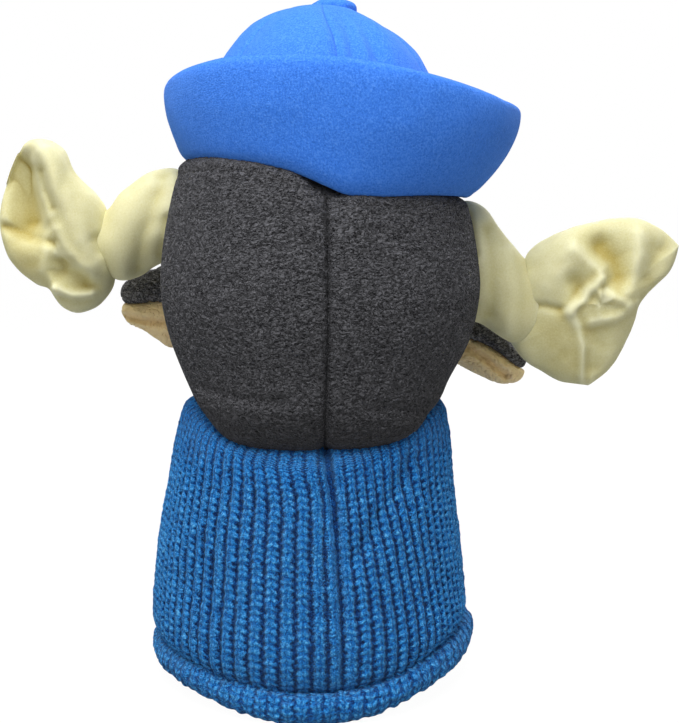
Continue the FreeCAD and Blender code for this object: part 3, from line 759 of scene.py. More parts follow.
def makePocketLining():
    outer = pocketGrid(121, 240, 0.2)
    normal = outward(outer, True, (0, 0, 190))
    wrinkle = np.abs(lumps(outer, (9.0, 9.0, 26.0), 71)) * smoothStep(outer[..., 2], 124, 150)
    insideRoom, outsideRoom = pocket["crownRoom"]
    inside = underCrown(pushed(outer, normal, -pocket["lining"] - wrinkle), insideRoom)
    outside = underCrown(outer - normal * 0.2, outsideRoom)
    piece = makeShell("pocket_lining_cloth", inside, outside[::4, ::4], True, liningBlack)
    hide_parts("pocket_lining")
    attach(piece, "head")


def makeStuffing():
    turn = fullTurn(96)
    height = np.linspace(stuffing["foot"], stuffing["top"], 41)[:, None]
    outer = headPoint(turn, height, stuffing["inset"])
    outer = pushed(outer, outward(outer, True, (0, 0, 190)), lumps(outer, stuffing["lump"], 81))
    outsideRoom, insideRoom = stuffing["crownRoom"]
    outer = underCrown(outer, outsideRoom)
    inner = underCrown(pocketGrid(41, 96, -0.4), insideRoom)
    inner[..., 2] = np.minimum(inner[..., 2], stuffing["top"] - 1)
    inner = inner[::2, ::2]
    piece = makeShell("head_stuffing", outer, inner, True, fibrefill)
    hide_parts("head_filling")
    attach(piece, "head")


def makeElastic():
    low, high = [corner * 1000 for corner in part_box("neck_elastic")]
    rows = np.linspace(0, 1, 41)[:, None]
    turn = fullTurn(240)
    height = low.z + (high.z - low.z) * rows
    reach = high.x + elastic["swell"] * (np.abs(np.sin(rows * elastic["cords"] * math.pi)) - 1)
    outer = gridOf(reach * np.sin(turn), reach * np.cos(turn), height)
    reach = high.x - elastic["thick"]
    inner = gridOf(reach * np.sin(turn), reach * np.cos(turn), height)
    piece = makeShell("neck_elastic_band", outer, inner[::4, ::4], True, elasticWhite)
    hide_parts("neck_elastic")
    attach(piece, "head")


makePocketLining()
makeStuffing()
makeElastic()
print("pocket lined and head stuffed")


# Rib-knit sock

sock = {
    "ribs": 80,
    "pointsPerRib": 8,
    "rows": 144,
    "stitch": 3.2,            # mm from one stitch to the next
    # radius and height of the tube, from the hem up and in over the shoulder
    "line": [(71.0, 11.0), (71.8, 30.0), (69.9, 46.0), (68.2, 62.0), (66.0, 79.0), (64.0, 92.0),
             (63.2, 100.0), (62.4, 107.5), (61.2, 114.5), (59.6, 121.0), (56.6, 126.2), (51.0, 129.8),
             (46.5, 130.8)],
    "wall": 4.0,
    "ribDepth": 1.5,
    "shoulderSoft": 2.6,      # mm over which the shoulder settles under the head
    "seamWidth": 2.4,
    "seamDepth": (2.2, 2.4),  # low down, and more above
    "foldWidth": 4.5,
    "foldDepth": 1.8,
    "seam": [(-3.2, 112.0), (-6.0, 96.0), (-9.0, 72.0), (-11.0, 46.0), (-11.5, 16.0)],
    "fold": [(-40.0, 103.0), (-27.0, 84.0), (-17.0, 68.0)],
}
hem = {"reach": 68.4, "middle": 3.4, "halfWidth": 5.8, "halfHeight": 6.3, "roll": 6.0}


def aroundSock(turn):
    # turn from the middle of the back, positive towards the right
    behind = (turn - math.pi) % (2 * math.pi)
    return np.where(behind > math.pi, behind - 2 * math.pi, behind)


def hemShape(behind):
    # how far the hem lifts off the floor and half its height
    away = np.abs(behind)
    right = smoothStep(behind, 0.3, 1.5) * smoothStep(behind, 2.8, 1.8)
    lift = 5.0 * smoothStep(away, 0.1, 0.95) * smoothStep(away, 2.6, 1.5) + 3.4 * right
    return lift, hem["halfHeight"] + 1.6 * right


def sockMiddle(height):
    # the tube stands a little to the left of the head's middle
    return 4.6 - 1.6 * smoothStep(height, 60, 125)


def makeSock():
    columns = sock["ribs"] * sock["pointsPerRib"]
    rows = sock["rows"] + 1
    profile = throughPoints(sock["line"], rows)
    length = np.linalg.norm(np.diff(profile, axis=0), axis=1).sum()
    reach, height = profile[:, :1], profile[:, 1:]
    turn = fullTurn(columns)
    behind = aroundSock(turn)
    lift, halfHeight = hemShape(behind)
    rise = smoothStep(height, 30, 120)
    # the ribs lean and spread where the tube is pulled round behind
    lean = -0.15 * rise * hump(behind, 0.6, 0.4)
    lean = lean - 0.06 * smoothStep(height, 86, 112) * hump(behind, -0.1, 0.3)
    spread = 0.11 * np.sin(2 * (behind + 0.15)) * hump(behind, 0, 1.4)
    turn = turn + lean + spread
    tight = 1 - 0.02 * smoothStep(height, 92, 126) * smoothStep(np.sin(turn), 0.3, 1.0)
    x = sockMiddle(height) + reach * tight * np.sin(turn)
    y = -reach * np.cos(turn)
    ceiling = seatHeight(x, y) - 0.3
    soft = sock["shoulderSoft"]
    z = -soft * np.log(np.exp(-(height - ceiling) / soft) + 1) + ceiling
    grid = gridOf(x, y, z)
    normal = outward(grid, True, (0, 0, 60))
    ribTurn = np.arange(columns)[None, :] / sock["pointsPerRib"]
    rowTurn = (np.arange(rows) / (rows - 1) * length / sock["stitch"])[:, None]
    offRib = np.abs(ribTurn % 1 - 0.5)
    step = np.random.RandomState(96).uniform(0, 1, sock["ribs"])[np.floor(ribTurn).astype(int)]
    leg = 0.5 + 0.5 * np.sin(2 * math.pi * (rowTurn + step + offRib * ribKnit["slant"]))
    crest = smoothStep(offRib - 0.06 * (leg - 0.5), 0.46, 0.12)
    uneven = 1 + 0.35 * lumps(grid, 9.0, 95)
    uneven = uneven * (1 - 0.75 * smoothStep(height, 88, 114))
    move = sock["ribDepth"] * uneven * (crest - 0.62) + 0.12 * leg * crest
    move = move + 0.7 * lumps(grid, 28.0, 91) + 0.45 * lumps(grid, 2.6, 92)
    rear = grid[..., 1] > 0
    seamed = hump(distanceTo(sock["seam"], grid[..., 0], grid[..., 2]), 0, sock["seamWidth"])
    low, more = sock["seamDepth"]
    move = move - seamed * rear * (low + more * smoothStep(height, 40, 100))
    folded = hump(distanceTo(sock["fold"], grid[..., 0], grid[..., 2]), 0, sock["foldWidth"])
    move = move - sock["foldDepth"] * folded * rear
    # the tube dips in behind the top of the hem
    move = move * smoothStep(height, 11, 20) - 3.8 * hump(height, lift + 2 * halfHeight - 1.5, 4.5)
    outer = pushed(grid, normal, move)
    inner = (grid - normal * sock["wall"])[::4, ::4]
    corners = gridCorners(rows, columns, True, sock["ribs"], length / sock["stitch"])
    piece = makeShell("sock_rib_knit", outer, inner, True, ribKnitBlue, corners)
    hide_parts("sock_tube")
    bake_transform(piece)


def makeHem():
    # a fold of the knit rolled outward, lifting off the floor at its sides
    columns = sock["ribs"] * sock["pointsPerRib"]
    rows = 73
    turn = fullTurn(columns)
    behind = aroundSock(turn)
    lift, halfHeight = hemShape(behind)
    tilt = np.linspace(math.radians(150), math.radians(-190), rows)[:, None]
    reach = hem["reach"] - 1.3 * hump(np.abs(behind), 0.85, 0.5) + hem["halfWidth"] * np.cos(tilt)
    height = 0.2 + lift + halfHeight * (1 + np.sin(tilt))
    grid = gridOf(hem["middle"] + reach * np.sin(turn), -reach * np.cos(turn), height)
    normal = gridOf(np.cos(tilt) * np.sin(turn), -np.cos(tilt) * np.cos(turn), np.sin(tilt))
    length = 2 * math.pi * hem["roll"]
    rowTurn = (np.arange(rows) / (rows - 1) * length / sock["stitch"])[:, None]
    ribTurn = np.arange(columns)[None, :] / sock["pointsPerRib"] + 0.3 * np.sin(tilt)
    crest = smoothStep(np.abs(ribTurn % 1 - 0.5), 0.46, 0.14)
    move = 0.3 * (crest - 0.7) + 0.6 * lumps(grid, 3.2, 101) + 0.7 * lumps(grid, 20.0, 102)
    move = move + 0.15 * np.sin(2 * math.pi * rowTurn + 2 * lumps(grid, 6.0, 103))
    outer = pushed(grid, normal, move)
    outer[..., 2] = np.maximum(outer[..., 2], 0.05)
    core = grid - normal * np.minimum(hem["halfWidth"], halfHeight)[..., None] * 0.7
    corners = gridCorners(rows, columns, True, sock["ribs"], length / sock["stitch"])
    piece = makeShell("sock_turned_hem", outer, core[::4, ::4], True, hemKnitBlue, corners)
    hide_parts("sock_hem")
    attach(piece, "sock")


makeSock()
makeHem()
print("sock knitted")


# Hat

brim = {
    # share of the way from fold to rim and how far outside that line, up the outside and down the inside
    "section": [(0.24, -6.4), (0.08, -5.8), (-0.01, -4.6), (-0.05, -2.4), (-0.03, -0.4), (0.04, 0.8),
                (0.16, 1.2), (0.4, 1.4), (0.68, 1.5), (0.86, 1.2), (0.955, 0.5), (1.0, -1.0),
                (1.006, -3.2), (0.97, -5.0), (0.9, -5.6), (0.6, -5.4), (0.34, -5.8), (0.26, -6.4)],
    "height": 45.0,           # mm from fold to rim, which spaces the section's points
    "bulge": (2.0, 2.2),      # all round, and more towards the right
    "middleDepth": 2.6,       # how far the middle of the wall lies inside its outer line
}


def makeBrim():
    columns, rows = 480, 161
    profile = throughPoints([(share * brim["height"], out) for share, out in brim["section"]], rows)
    share, out = profile[:, :1] / brim["height"], profile[:, 1:]
    turn = fullTurn(columns)
    fold = aroundHat(turn, "foldHeights", "turns")
    rim = aroundHat(turn, "rimHeights", "rimTurns")
    rightward = np.clip(-np.cos(turn), 0, 1)
    bulge = brim["bulge"][0] + brim["bulge"][1] * rightward
    bulge = bulge * np.sin(np.clip(share, 0, 1) * math.pi) ** 0.8
    out = out + bulge
    halfX = hat["foldHalf"][0] + (hat["rimHalf"][0] - hat["foldHalf"][0]) * share + out
    halfY = hat["foldHalf"][1] + (hat["rimHalf"][1] - hat["foldHalf"][1]) * share + out
    middle = hat["foldMiddle"] + (hat["rimMiddle"] - hat["foldMiddle"]) * share
    z = fold + (rim - fold) * share
    grid = gridOf(middle + halfX * np.cos(turn), halfY * np.sin(turn), z)
    inward = out + brim["middleDepth"]
    core = gridOf(middle + (halfX - inward) * np.cos(turn), (halfY - inward) * np.sin(turn), z)
    away = grid - core
    away /= np.linalg.norm(away, axis=-1, keepdims=True) + 1e-6
    wave = 0.9 * lumps(grid, 30.0, 111) + 0.22 * lumps(grid, 8.0, 112)
    grid = pushed(grid, away, wave * smoothStep(share, -0.02, 0.3))
    inner = core + away
    piece = makeShell("hat_turned_up_brim", grid, inner[::4, ::4], True, fleeceBlue)
    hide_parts("hat_brim")
    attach(piece, "head")


def makeCrown():
    columns, rows = 89, 145
    profile = throughPoints(crown["line"], rows)
    reach, height = profile[:, :1], profile[:, 1:]
    lowest = profile[-1, 1]
    gores = crown["gores"]
    width = 2 * math.pi / gores
    for k in range(gores):
        first = math.pi / 2 + math.radians(crown["seamTurn"]) + k * width
        turn = np.linspace(first, first + width, columns)[None, :]
        fold = aroundHat(turn, "foldHeights", "turns") + 2.0
        z = height + (fold - lowest) * smoothStep(height, crown["leanTop"], lowest)
        leaning = crown["lean"] * np.clip(crown["leanTop"] - z, 0, None)
        x = crown["middle"] + reach * np.cos(turn) - leaning + 2.6 * hump(height, 290, 8)
        y = reach * np.sin(turn)
        # the foot runs out to the inside of the brim, where the two are sewn together
        foot = smoothStep(z - fold, 12, 3)
        footX = -5.5 + (crown["footHalf"][0] + 3.2 * np.clip(-np.cos(turn), 0, 1)) * np.cos(turn)
        x = x + (footX - x) * foot
        y = y + (crown["footHalf"][1] * np.sin(turn) - y) * foot
        grid = gridOf(x, y, z)
        normal = outward(grid, False, (0, 0, 235))
        edge = reach * np.minimum(turn - first, first + width - turn)
        roll = np.clip(1 - edge / crown["seamRound"], 0, 1)
        move = -crown["seamDepth"] * (1 - np.sqrt(1 - roll ** 2 * 0.98)) * smoothStep(reach, 4, 14)
        swollen = crown["puff"] * np.cos((turn - first - width / 2) * gores / 2)
        move = move + swollen * smoothStep(reach, 5, 30)
        creased = strokesAt(crown["creases"], grid[..., 0], grid[..., 2])
        move = move + creased * smoothStep(grid[..., 1], 10, 35)
        move = move + 0.7 * lumps(grid, 22.0, 121) + 0.15 * lumps(grid, 5.0, 122)
        outer = pushed(grid, normal, move)
        inner = (grid - normal * crown["fleece"])[::4, ::4]
        name = "hat_crown_gore_%d" % (k + 1)
        piece = makeShell(name, outer, inner, False, fleeceBlue)
        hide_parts("hat_crown_panel_%d" % (k + 1))
        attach(piece, "head")


button = {"middle": (-6.4, 0.0, 295.2), "half": (10.2, 10.0, 4.5), "pleats": 9}


def makeButton():
    rings, spokes = 41, 120
    turn = fullTurn(spokes)
    tilt = poleToPole(rings)
    half = button["half"]
    x = half[0] * np.sin(tilt) * np.cos(turn)
    y = half[1] * np.sin(tilt) * np.sin(turn)
    z = half[2] * np.sign(np.cos(tilt)) * np.abs(np.cos(tilt)) ** 0.85
    grid = gridOf(x, y, z) + np.array(button["middle"])
    pleat = 0.25 * np.cos(turn * button["pleats"]) * np.sin(tilt) ** 4
    grid = pushed(grid, outward(grid, True, button["middle"]), pleat + 0.3 * lumps(grid, 6.0, 131))
    piece = makeForm("hat_covered_button", grid, fleeceBlue)
    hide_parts("hat_button")
    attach(piece, "head")


makeBrim()
makeCrown()
makeButton()
print("hat sewn")


# Pillow shapes: antler palms and ears

def makePillow(name, shape, material, seed):
    # closed form from an outline in X and Z, puffed in Y, with ridges and hollows pressed into its back
    rings, spokes, fullness = 151, 360, 0.8
    middle = np.array(shape["middle"], float)
    outline = throughPoints(shape["outline"], spokes, closed=True)
    tilt = poleToPole(rings)
    share = np.sin(tilt)
    coreX, coreZ = shape.get("core", (0, 0))
    x = coreX * (1 - share) + outline[None, :, 0] * share
    z = coreZ * (1 - share) + outline[None, :, 1] * share
    across = np.cos(tilt)
    puffed = np.sign(across) * np.abs(across) ** fullness
    y = shape["thick"] * puffed
    onBack = smoothStep(puffed, -0.1, 0.45)
    relief = strokesAt(shape.get("strokes", ()), x, z) * onBack
    # a hollow stops short of the front cloth
    y = np.where(puffed > 0, np.maximum(y + relief, -0.4 * y), y)
    y = y - strokesAt(shape.get("frontStrokes", ()), x, z) * smoothStep(puffed, 0.1, -0.45)
    grid = gridOf(x, y, z) + middle
    normal = outward(grid, True, middle)
    move = shape.get("crumpled", 0.9) * lumps(grid, 15.0, seed) + 0.2 * lumps(grid, 5.0, seed + 1)
    for gather in shape.get("gathers", ()):
        away = np.hypot(x - gather["at"][0], z - gather["at"][1]) / gather["radius"]
        crumple = 0.5 - np.abs(lumps(grid, gather["size"], seed + 2)) * 1.8
        move = move + gather["height"] * crumple * np.exp(-away ** 2) * onBack
    grid = pushed(grid, normal, move)
    normal = outward(grid, True, middle)
    # the fold mark becomes painted shade in the velboa's colour
    fold = hollowness(grid, normal, 24)
    # painted shade along strokes, added to the fold mark
    fold = fold + strokesAt(shape.get("paintedShades", ()), x, z, "tone") * onBack
    pileMark = pile(grid, (2.0, 2.0, 1.7), seed + 3)
    grid = pushed(grid, normal, shape.get("shag", 0.0) * (pileMark - 0.6))
    # the pile mark carries the ears' painted light
    return makeForm(name, grid, material, marks={"fold": fold, "pile": pileMark + shape.get("paintedLight", 0.0)})


leftPalm = {
    "middle": (118.7, -4.0, 201.0),
    "thick": 13.0,
    "core": (-2.0, -2.0),
    "outline": [(5.6, 39.2), (13.8, 35.7), (20.6, 22.4), (24.8, 5.0), (22.7, -9.4), (18.0, -18.0),
                (9.6, -25.3), (3.3, -28.0), (-1.9, -35.8), (-10.0, -39.0), (-19.3, -34.9), (-25.5, -24.8),
                (-24.5, -9.0), (-23.1, 5.9), (-19.2, 13.9), (-14.4, 19.3), (-9.2, 25.0), (-4.1, 34.8)],
    "strokes": [
        {"path": [(12.5, 24.0), (11.5, 12.0), (10.0, 3.0)], "width": 8.5, "lift": -15.0},     # cup
        {"path": [(1.0, 33.0), (-6.0, 20.0), (-12.0, 8.0), (-16.0, -4.0), (-19.5, -15.0)], "width": 8.5,
         "lift": 6.5},     # main roll
        {"path": [(7.5, 28.0), (7.0, 20.0), (4.5, 12.0), (2.0, 4.0)], "width": 3.4, "lift": 2.4},
        {"path": [(3.0, 24.0), (1.0, 16.0), (-2.2, 9.0)], "width": 2.6, "lift": -2.0},
        {"path": [(22.0, 0.5), (9.2, -4.7), (-2.0, -6.5)], "width": 2.2, "lift": -1.8},
        {"path": [(-4.0, -1.0), (-7.0, -8.0), (-12.0, -15.0), (-18.0, -21.0)], "width": 3.4, "lift": 2.2},
        {"path": [(-1.0, -7.0), (-2.5, -13.0), (-5.0, -17.0)], "width": 3.2, "lift": -1.8},
        {"path": [(0.5, -6.0), (1.0, -12.0), (3.0, -19.0), (-1.0, -26.0)], "width": 3.6, "lift": 2.2},
        {"path": [(-6.0, -20.0), (-13.5, -24.0)], "width": 5.5, "lift": -3.8},     # small pocket
        {"path": [(-2.0, -27.5), (-9.0, -30.0), (-17.0, -29.5)], "width": 2.4, "lift": 2.4},
        {"path": [(-21.8, -5.5), (-23.4, -9.0)], "width": 2.8, "lift": -4.5},
    ],
    "gathers": [{"at": (-5.0, -11.0), "radius": 8.0, "height": 0.7, "size": 6.0}],
    "paintedShades": [{"path": [(16.0, -4.0), (11.0, -14.0)], "width": 9.0, "tone": 0.5},
             {"path": [(15.0, 22.0), (16.0, 4.0)], "width": 7.0, "tone": 0.25}],
    "frontStrokes": [
        {"path": [(-3.0, 27.0), (-5.0, 2.0), (-9.0, -26.0)], "width": 6.0, "lift": -5.0},
        {"path": [(-18.0, 2.0), (14.0, -4.0)], "width": 4.0, "lift": -3.0},
    ],
}
rightPalm = {
    "middle": (-124.6, -4.0, 167.0),
    "thick": 13.0,
    "core": (0.0, 0.0),
    "outline": [(31.8, 18.7), (27.8, 25.0), (20.2, 30.0), (13.5, 33.1), (4.1, 36.3), (-8.5, 38.1),
                (-18.0, 38.1), (-27.6, 33.6), (-36.5, 27.3), (-37.5, 25.0), (-33.7, 15.5), (-28.5, 9.2),
                (-21.5, 0.5), (-18.6, -8.2), (-13.5, -21.1), (-7.4, -29.9), (0.2, -37.3), (3.4, -38.2),
                (13.6, -36.4), (21.5, -32.2), (29.9, -27.6), (36.0, -21.1), (37.9, -15.6), (35.0, 2.0)],
    "strokes": [
        {"path": [(25.0, 10.0), (17.0, 20.0)], "width": 10.0, "lift": 4.0},     # upper lobe
        {"path": [(12.0, 26.0), (5.0, 20.5), (0.5, 16.0)], "width": 4.5, "lift": 3.2},
        {"path": [(-1.0, 24.0), (-6.0, 19.0), (-8.5, 13.0)], "width": 7.0, "lift": -5.0},     # soft pocket
        {"path": [(-17.0, 31.0), (-16.5, 22.0), (-12.0, 6.0)], "width": 4.6, "lift": 2.6},
        {"path": [(-27.0, 23.0), (-22.0, 12.0)], "width": 6.0, "lift": -3.0},
        {"path": [(11.5, 10.0), (9.0, 6.0)], "width": 4.2, "lift": -2.4},     # dimple
        {"path": [(13.5, -3.0), (8.5, 2.0), (4.5, 7.0), (0.0, 11.0)], "width": 2.4, "lift": 2.8},
        {"path": [(34.0, -1.4), (24.5, -0.4), (14.0, -2.8)], "width": 2.0, "lift": -1.3},     # sewn line
        {"path": [(13.5, -3.0), (9.5, -10.0), (7.0, -19.0), (5.6, -37.0)], "width": 2.0, "lift": 1.2},
        {"path": [(1.5, -12.0), (-0.5, -19.0), (0.5, -28.0)], "width": 5.5, "lift": -2.6},
        {"path": [(-12.0, 0.0), (-5.0, 3.5), (1.0, 5.0)], "width": 2.6, "lift": 2.0},
        {"path": [(3.0, -8.0), (-7.0, -6.0), (-17.0, 0.0)], "width": 2.6, "lift": 1.5},
    ],
    "gathers": [{"at": (0.0, 2.0), "radius": 7.5, "height": 1.1, "size": 5.5}],
    "paintedShades": [{"path": [(22.0, -12.0), (14.0, -26.0)], "width": 9.0, "tone": 0.4},
             {"path": [(-3.0, 24.0), (-9.0, 14.0)], "width": 7.0, "tone": 0.4}],
    "frontStrokes": [
        {"path": [(24.0, 10.0), (0.0, 2.0), (-22.0, 20.0)], "width": 6.0, "lift": -6.0},
        {"path": [(2.0, 0.0), (8.0, -26.0)], "width": 4.0, "lift": -3.0},
    ],
}


def makeStem(name, stem, seed):
    # puffy arm between the head and a palm, gathered where it is sewn on
    rings, spokes = 101, 180
    side = stem["side"]
    line = throughPoints(stem["sections"], rings)
    turn = fullTurn(spokes)
    reach, top, bottom, depth = [line[:, k:k + 1] for k in range(4)]
    ends = np.sin(np.clip(np.linspace(0, 1, rings) * 14, 0, math.pi / 2))
    ends = (ends * ends[::-1])[:, None]
    z = 0.5 * (top + bottom) + 0.5 * (top - bottom) * np.cos(turn) * ends
    y = stem["middle"] + depth * np.sin(turn) * ends
    grid = gridOf(side * reach, y, z)
    inside = (side * 82, stem["middle"], 190)
    normal = outward(grid, True, inside)
    gather = 0.2 * np.cos(turn * 9 + 1.5 * lumps(grid, 15.0, seed)) * smoothStep(reach, 82, 68)
    relief = strokesAt(stem["strokes"], side * grid[..., 0], grid[..., 2])
    relief = relief * smoothStep(normal[..., 1], -0.2, 0.5)
    move = gather + relief + 0.8 * lumps(grid, 12.0, seed + 1)
    grid = pushed(grid, normal, move * ends)
    # painted shade: how deep each point lies in a fold darkens the velboa there
    fold = hollowness(grid, outward(grid, True, inside), 16)
    return makeForm(name, grid, creamCloth, marks={"fold": fold})


# sections run out from the head: distance from the middle plane, top, bottom and half depth
leftStem = {
    "side": 1, "middle": -6.0,
    "sections": [(58.0, 221.0, 189.0, 14.0), (64.0, 227.0, 186.0, 17.0), (72.5, 227.0, 184.0, 18.0),
                 (81.0, 222.5, 179.0, 17.0), (88.5, 216.5, 177.0, 15.0), (95.0, 209.5, 179.0, 13.0),
                 (103.0, 206.0, 186.0, 10.0)],
    "strokes": [{"path": [(69.5, 224.0), (74.0, 208.0), (80.5, 182.0)], "width": 5.0, "lift": -2.8},
                {"path": [(86.0, 214.0), (89.0, 196.0), (88.0, 182.0)], "width": 6.0, "lift": 1.6},
                {"path": [(66.0, 204.0), (70.0, 188.0)], "width": 3.4, "lift": -1.6}],
}
rightStem = {
    "side": -1, "middle": -6.0,
    "sections": [(58.0, 209.0, 166.0, 14.0), (66.0, 212.5, 160.0, 17.0), (74.0, 209.5, 157.0, 18.0),
                 (81.0, 200.5, 152.5, 17.0), (88.5, 191.5, 148.0, 15.0), (95.0, 185.0, 147.0, 13.0),
                 (103.0, 181.0, 152.0, 10.0)],
    "strokes": [{"path": [(75.0, 200.0), (77.0, 182.0), (76.0, 162.0)], "width": 3.4, "lift": -1.7},
                {"path": [(66.0, 206.0), (68.0, 190.0)], "width": 2.6, "lift": -1.6},
                {"path": [(84.0, 190.0), (86.0, 172.0), (85.0, 156.0)], "width": 4.0, "lift": 1.5}],
}


def makeAntler(side, stem, palm, seed):
    body = "antler_" + side
    sewn = makeStem(body + "_stem", stem, seed)
    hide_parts(body + "_back", body + "_filling")
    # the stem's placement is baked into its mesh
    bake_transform(sewn)
    piece = makePillow(body + "_palm", palm, creamCloth, seed + 10)
    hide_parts(body + "_front")
    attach(piece, body)


makeAntler("left", leftStem, leftPalm, 141)
makeAntler("right", rightStem, rightPalm, 171)
print("antlers stuffed")


# shag is how far tufts stand out, and a lift of the pile's tone on the ears' backs is painted light
ears = {
    "left": {
        "back": {"middle": (78.0, -35.0, 171.0), "thick": 10.0, "shag": 0.9, "crumpled": 0.5,
                 "paintedLight": 2.8,
                 "outline": [(-23.0, 4.0), (-8.0, 12.0), (2.0, 9.5), (10.0, 7.0), (16.5, 2.5), (18.0, -3.0),
                             (15.0, -7.0), (6.0, -6.6), (-6.0, -6.4), (-23.0, -5.0)]},
        "lining": {"middle": (78.0, -35.0, 156.0), "thick": 9.5, "shag": 0.45, "crumpled": 0.5,
                   "outline": [(-22.0, 7.0), (-6.0, 9.8), (6.0, 9.4), (16.0, 8.6), (18.0, 4.0),
                               (15.0, -1.0), (8.0, -4.6), (1.0, -9.0), (-7.0, -13.0), (-21.0, -6.0)],
                   "strokes": [{"path": [(16.0, 2.0), (0.0, -0.5), (-14.0, -1.0)], "width": 1.8,
                                "lift": -3.5}]},
    },
    "right": {
        "back": {"middle": (-80.0, -35.0, 149.0), "thick": 10.0, "shag": 0.9, "crumpled": 0.5,
                 "paintedLight": 2.8,
                 "outline": [(24.0, 6.0), (10.0, 10.0), (3.0, 9.0), (-3.0, 4.0), (-9.0, 1.0), (-13.0, -6.0),
                             (-19.0, -12.0), (-16.0, -15.5), (-6.0, -8.0), (6.0, -2.0), (23.0, 0.0)]},
        "lining": {"middle": (-81.0, -35.0, 138.0), "thick": 9.5, "shag": 0.45, "crumpled": 0.5,
                   "outline": [(24.0, 10.0), (8.0, 9.5), (-4.0, 3.5), (-14.0, -4.0), (-17.5, -7.0),
                               (-14.0, -11.5), (-5.5, -12.5), (3.5, -9.0), (13.0, -4.0), (24.0, 3.0)],
                   "strokes": [{"path": [(14.0, 8.0), (2.0, 0.0), (-8.0, -8.0)], "width": 1.8,
                                "lift": -3.5}]},
    },
}


def makeEar(side, seed):
    body = "ear_" + side
    back = makePillow(body + "_plush", ears[side]["back"], plushGrey, seed)
    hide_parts(body + "_back")
    lining = makePillow(body + "_velboa", ears[side]["lining"], tanCloth, seed + 7)
    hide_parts(body + "_lining")
    for piece in (back, lining):
        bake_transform(piece)


makeEar("left", 201)
makeEar("right", 221)
print("ears sewn")


# Muzzle and face

muzzle = {"middle": (0.0, -58.0, 155.0), "half": (42.5, 40.0, 30.5)}


def makeMuzzle():
    rings, spokes = 161, 320
    turn = fullTurn(spokes)
    tilt = poleToPole(rings)
    half = muzzle["half"]
    x = half[0] * np.sin(tilt) * np.cos(turn)
    y = -half[1] * np.cos(tilt)
    z = half[2] * np.sin(tilt) * np.sin(turn)
    grid = gridOf(x, y, z)
    front = smoothStep(-y, 0, 24)
    seam = 1.6 * hump(x, 0, 1.6) * front * smoothStep(z, -16, -8)
    cheeks = 1.4 * (hump(x, 17, 14) + hump(x, -17, 14)) * front
    normal = outward(grid, True, (0, 0, 0))
    move = cheeks - seam + 0.7 * lumps(grid, 24.0, 241) + 0.15 * lumps(grid, 3.0, 242)
    grid = pushed(grid, normal, move)
    # painted shade: how deep each point lies in a fold darkens the velboa there
    fold = hollowness(grid, normal, 10)
    piece = makeForm("muzzle_velboa", grid + np.array(muzzle["middle"]), tanCloth, marks={"fold": fold})
    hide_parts("muzzle_cover", "muzzle_filling")
    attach(piece, "head")


makeMuzzle()
for nodeName, material in (("eye_left", eyeBlack), ("eye_right", eyeBlack),
                           ("eye_washer_left", washerWhite), ("eye_washer_right", washerWhite),
                           ("nostril_left", threadBlack), ("nostril_right", threadBlack),
                           ("mouth_stitching", threadBlack)):
    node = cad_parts[nodeName]
    node.data.materials.clear()
    node.data.materials.append(material)
print("face sewn")


# Studio

def seenRays(tree):
    # 1 for the rays that show the background: to the camera, by reflection or through something clear
    rays = addNode(tree, "LightPath").outputs
    seen = addNode(tree, "Math", {0: rays["Is Camera Ray"], 1: rays["Is Glossy Ray"]},
                   operation="MAXIMUM").outputs[0]
    return addNode(tree, "Math", {0: seen, 1: rays["Is Transmission Ray"]}, operation="MAXIMUM").outputs[0]


floorColours = [(0.0, "#A6A6A4"), (1.0, "#ADADAB")]


def makeStage():
    reach = 6      # metres each way
    material, tree, shader = newMaterial("studioFloor", Roughness=0.9)
    grain = addNode(tree, "TexNoise", {"Vector": place(tree), "Scale": 3.0, "Detail": 2.0}).outputs["Fac"]
    colour = addNode(tree, "ValToRGB", {0: grain}, stops=floorColours).outputs["Color"]
    tree.links.new(colour, shader.inputs["Base Color"])
    # a tenth of the floor's own look stays, and with it the shadow
    share = addNode(tree, "Math", {0: seenRays(tree), 1: 0.9}, operation="MULTIPLY").outputs[0]
    white = addNode(tree, "Emission", {"Color": toLinear("#FFFFFF"), "Strength": 1.08}).outputs[0]
    mixed = addNode(tree, "MixShader", {0: share, 1: shader.outputs[0], 2: white}).outputs[0]
    tree.links.new(mixed, tree.nodes["Material Output"].inputs["Surface"])
    mesh = bpy.data.meshes.new("studio_floor")
    corners = [(-reach, -reach, 0), (reach, -reach, 0), (reach, reach, 0), (-reach, reach, 0)]
    mesh.from_pydata(corners, [], [(0, 1, 2, 3)])
    mesh.materials.append(material)
    floor = bpy.data.objects.new("studio_floor", mesh)
    bpy.context.scene.collection.objects.link(floor)


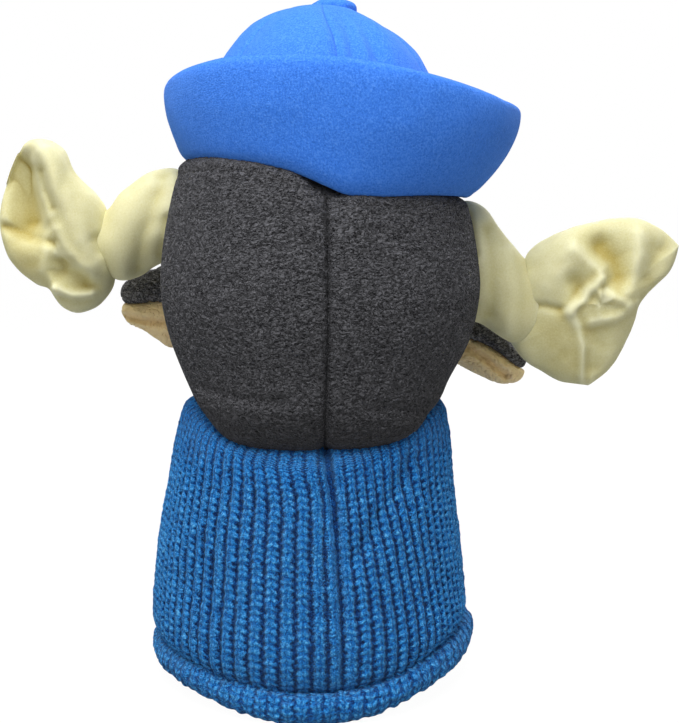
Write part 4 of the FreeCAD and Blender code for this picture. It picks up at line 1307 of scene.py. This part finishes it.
def makeWorld():
    world = bpy.data.worlds.new("studioWorld")
    bpy.context.scene.world = world
    world.use_nodes = True
    tree = world.node_tree
    # brighter overhead than at the horizon, and plain white to the camera
    up = addNode(tree, "SeparateXYZ", {0: addNode(tree, "TexCoord").outputs["Generated"]}).outputs["Z"]
    sky = addNode(tree, "MapRange", {"Value": up, "From Min": 0.0, "From Max": 1.0, "To Min": 0.06,
                                     "To Max": 0.72}).outputs[0]
    strength = addNode(tree, "Mix", {0: seenRays(tree), 2: sky, 3: 1.0}).outputs[0]
    tree.nodes["Background"].inputs["Color"].default_value = toLinear("#FFFFFF")
    tree.links.new(strength, tree.nodes["Background"].inputs["Strength"])


lamps = {
    "overheadSoftbox": {"at": (0.1, 0.4, 1.0), "size": 0.6, "watts": 10.0},
    "cameraSoftbox": {"at": (0.3, 1.0, 0.9), "size": 0.8, "watts": 3.4},
    "faceSoftbox": {"at": (-0.5, -1.1, 0.7), "size": 0.9, "watts": 10.0},
}


def makeLamps():
    target = Vector((0, 0, 0.16))
    for name, lamp in lamps.items():
        light = bpy.data.lights.new(name, "AREA")
        light.shape = "SQUARE"
        light.size = lamp["size"]
        light.energy = lamp["watts"]
        holder = bpy.data.objects.new(name, light)
        holder.location = lamp["at"]
        away = holder.location - target
        holder.rotation_euler = away.to_track_quat("Z", "Y").to_euler()
        bpy.context.scene.collection.objects.link(holder)


view = {"at": (-0.009, 0.504, 0.205), "down": 7.3, "lens": 55.72, "sensor": 36}     # metres, degrees, mm


def makeCamera():
    lens = bpy.data.cameras.new("camera")
    lens.sensor_fit = "VERTICAL"
    lens.sensor_height = view["sensor"]
    lens.lens = view["lens"]
    lens.clip_start = 0.01
    lens.clip_end = 50
    holder = bpy.data.objects.new("camera", lens)
    holder.location = view["at"]
    holder.rotation_euler = (math.radians(90 - view["down"]), 0, math.pi)
    bpy.context.scene.collection.objects.link(holder)
    bpy.context.scene.camera = holder


makeStage()
makeWorld()
makeLamps()
makeCamera()
bpy.context.scene.view_settings.view_transform = "Standard"
print("studio lit")
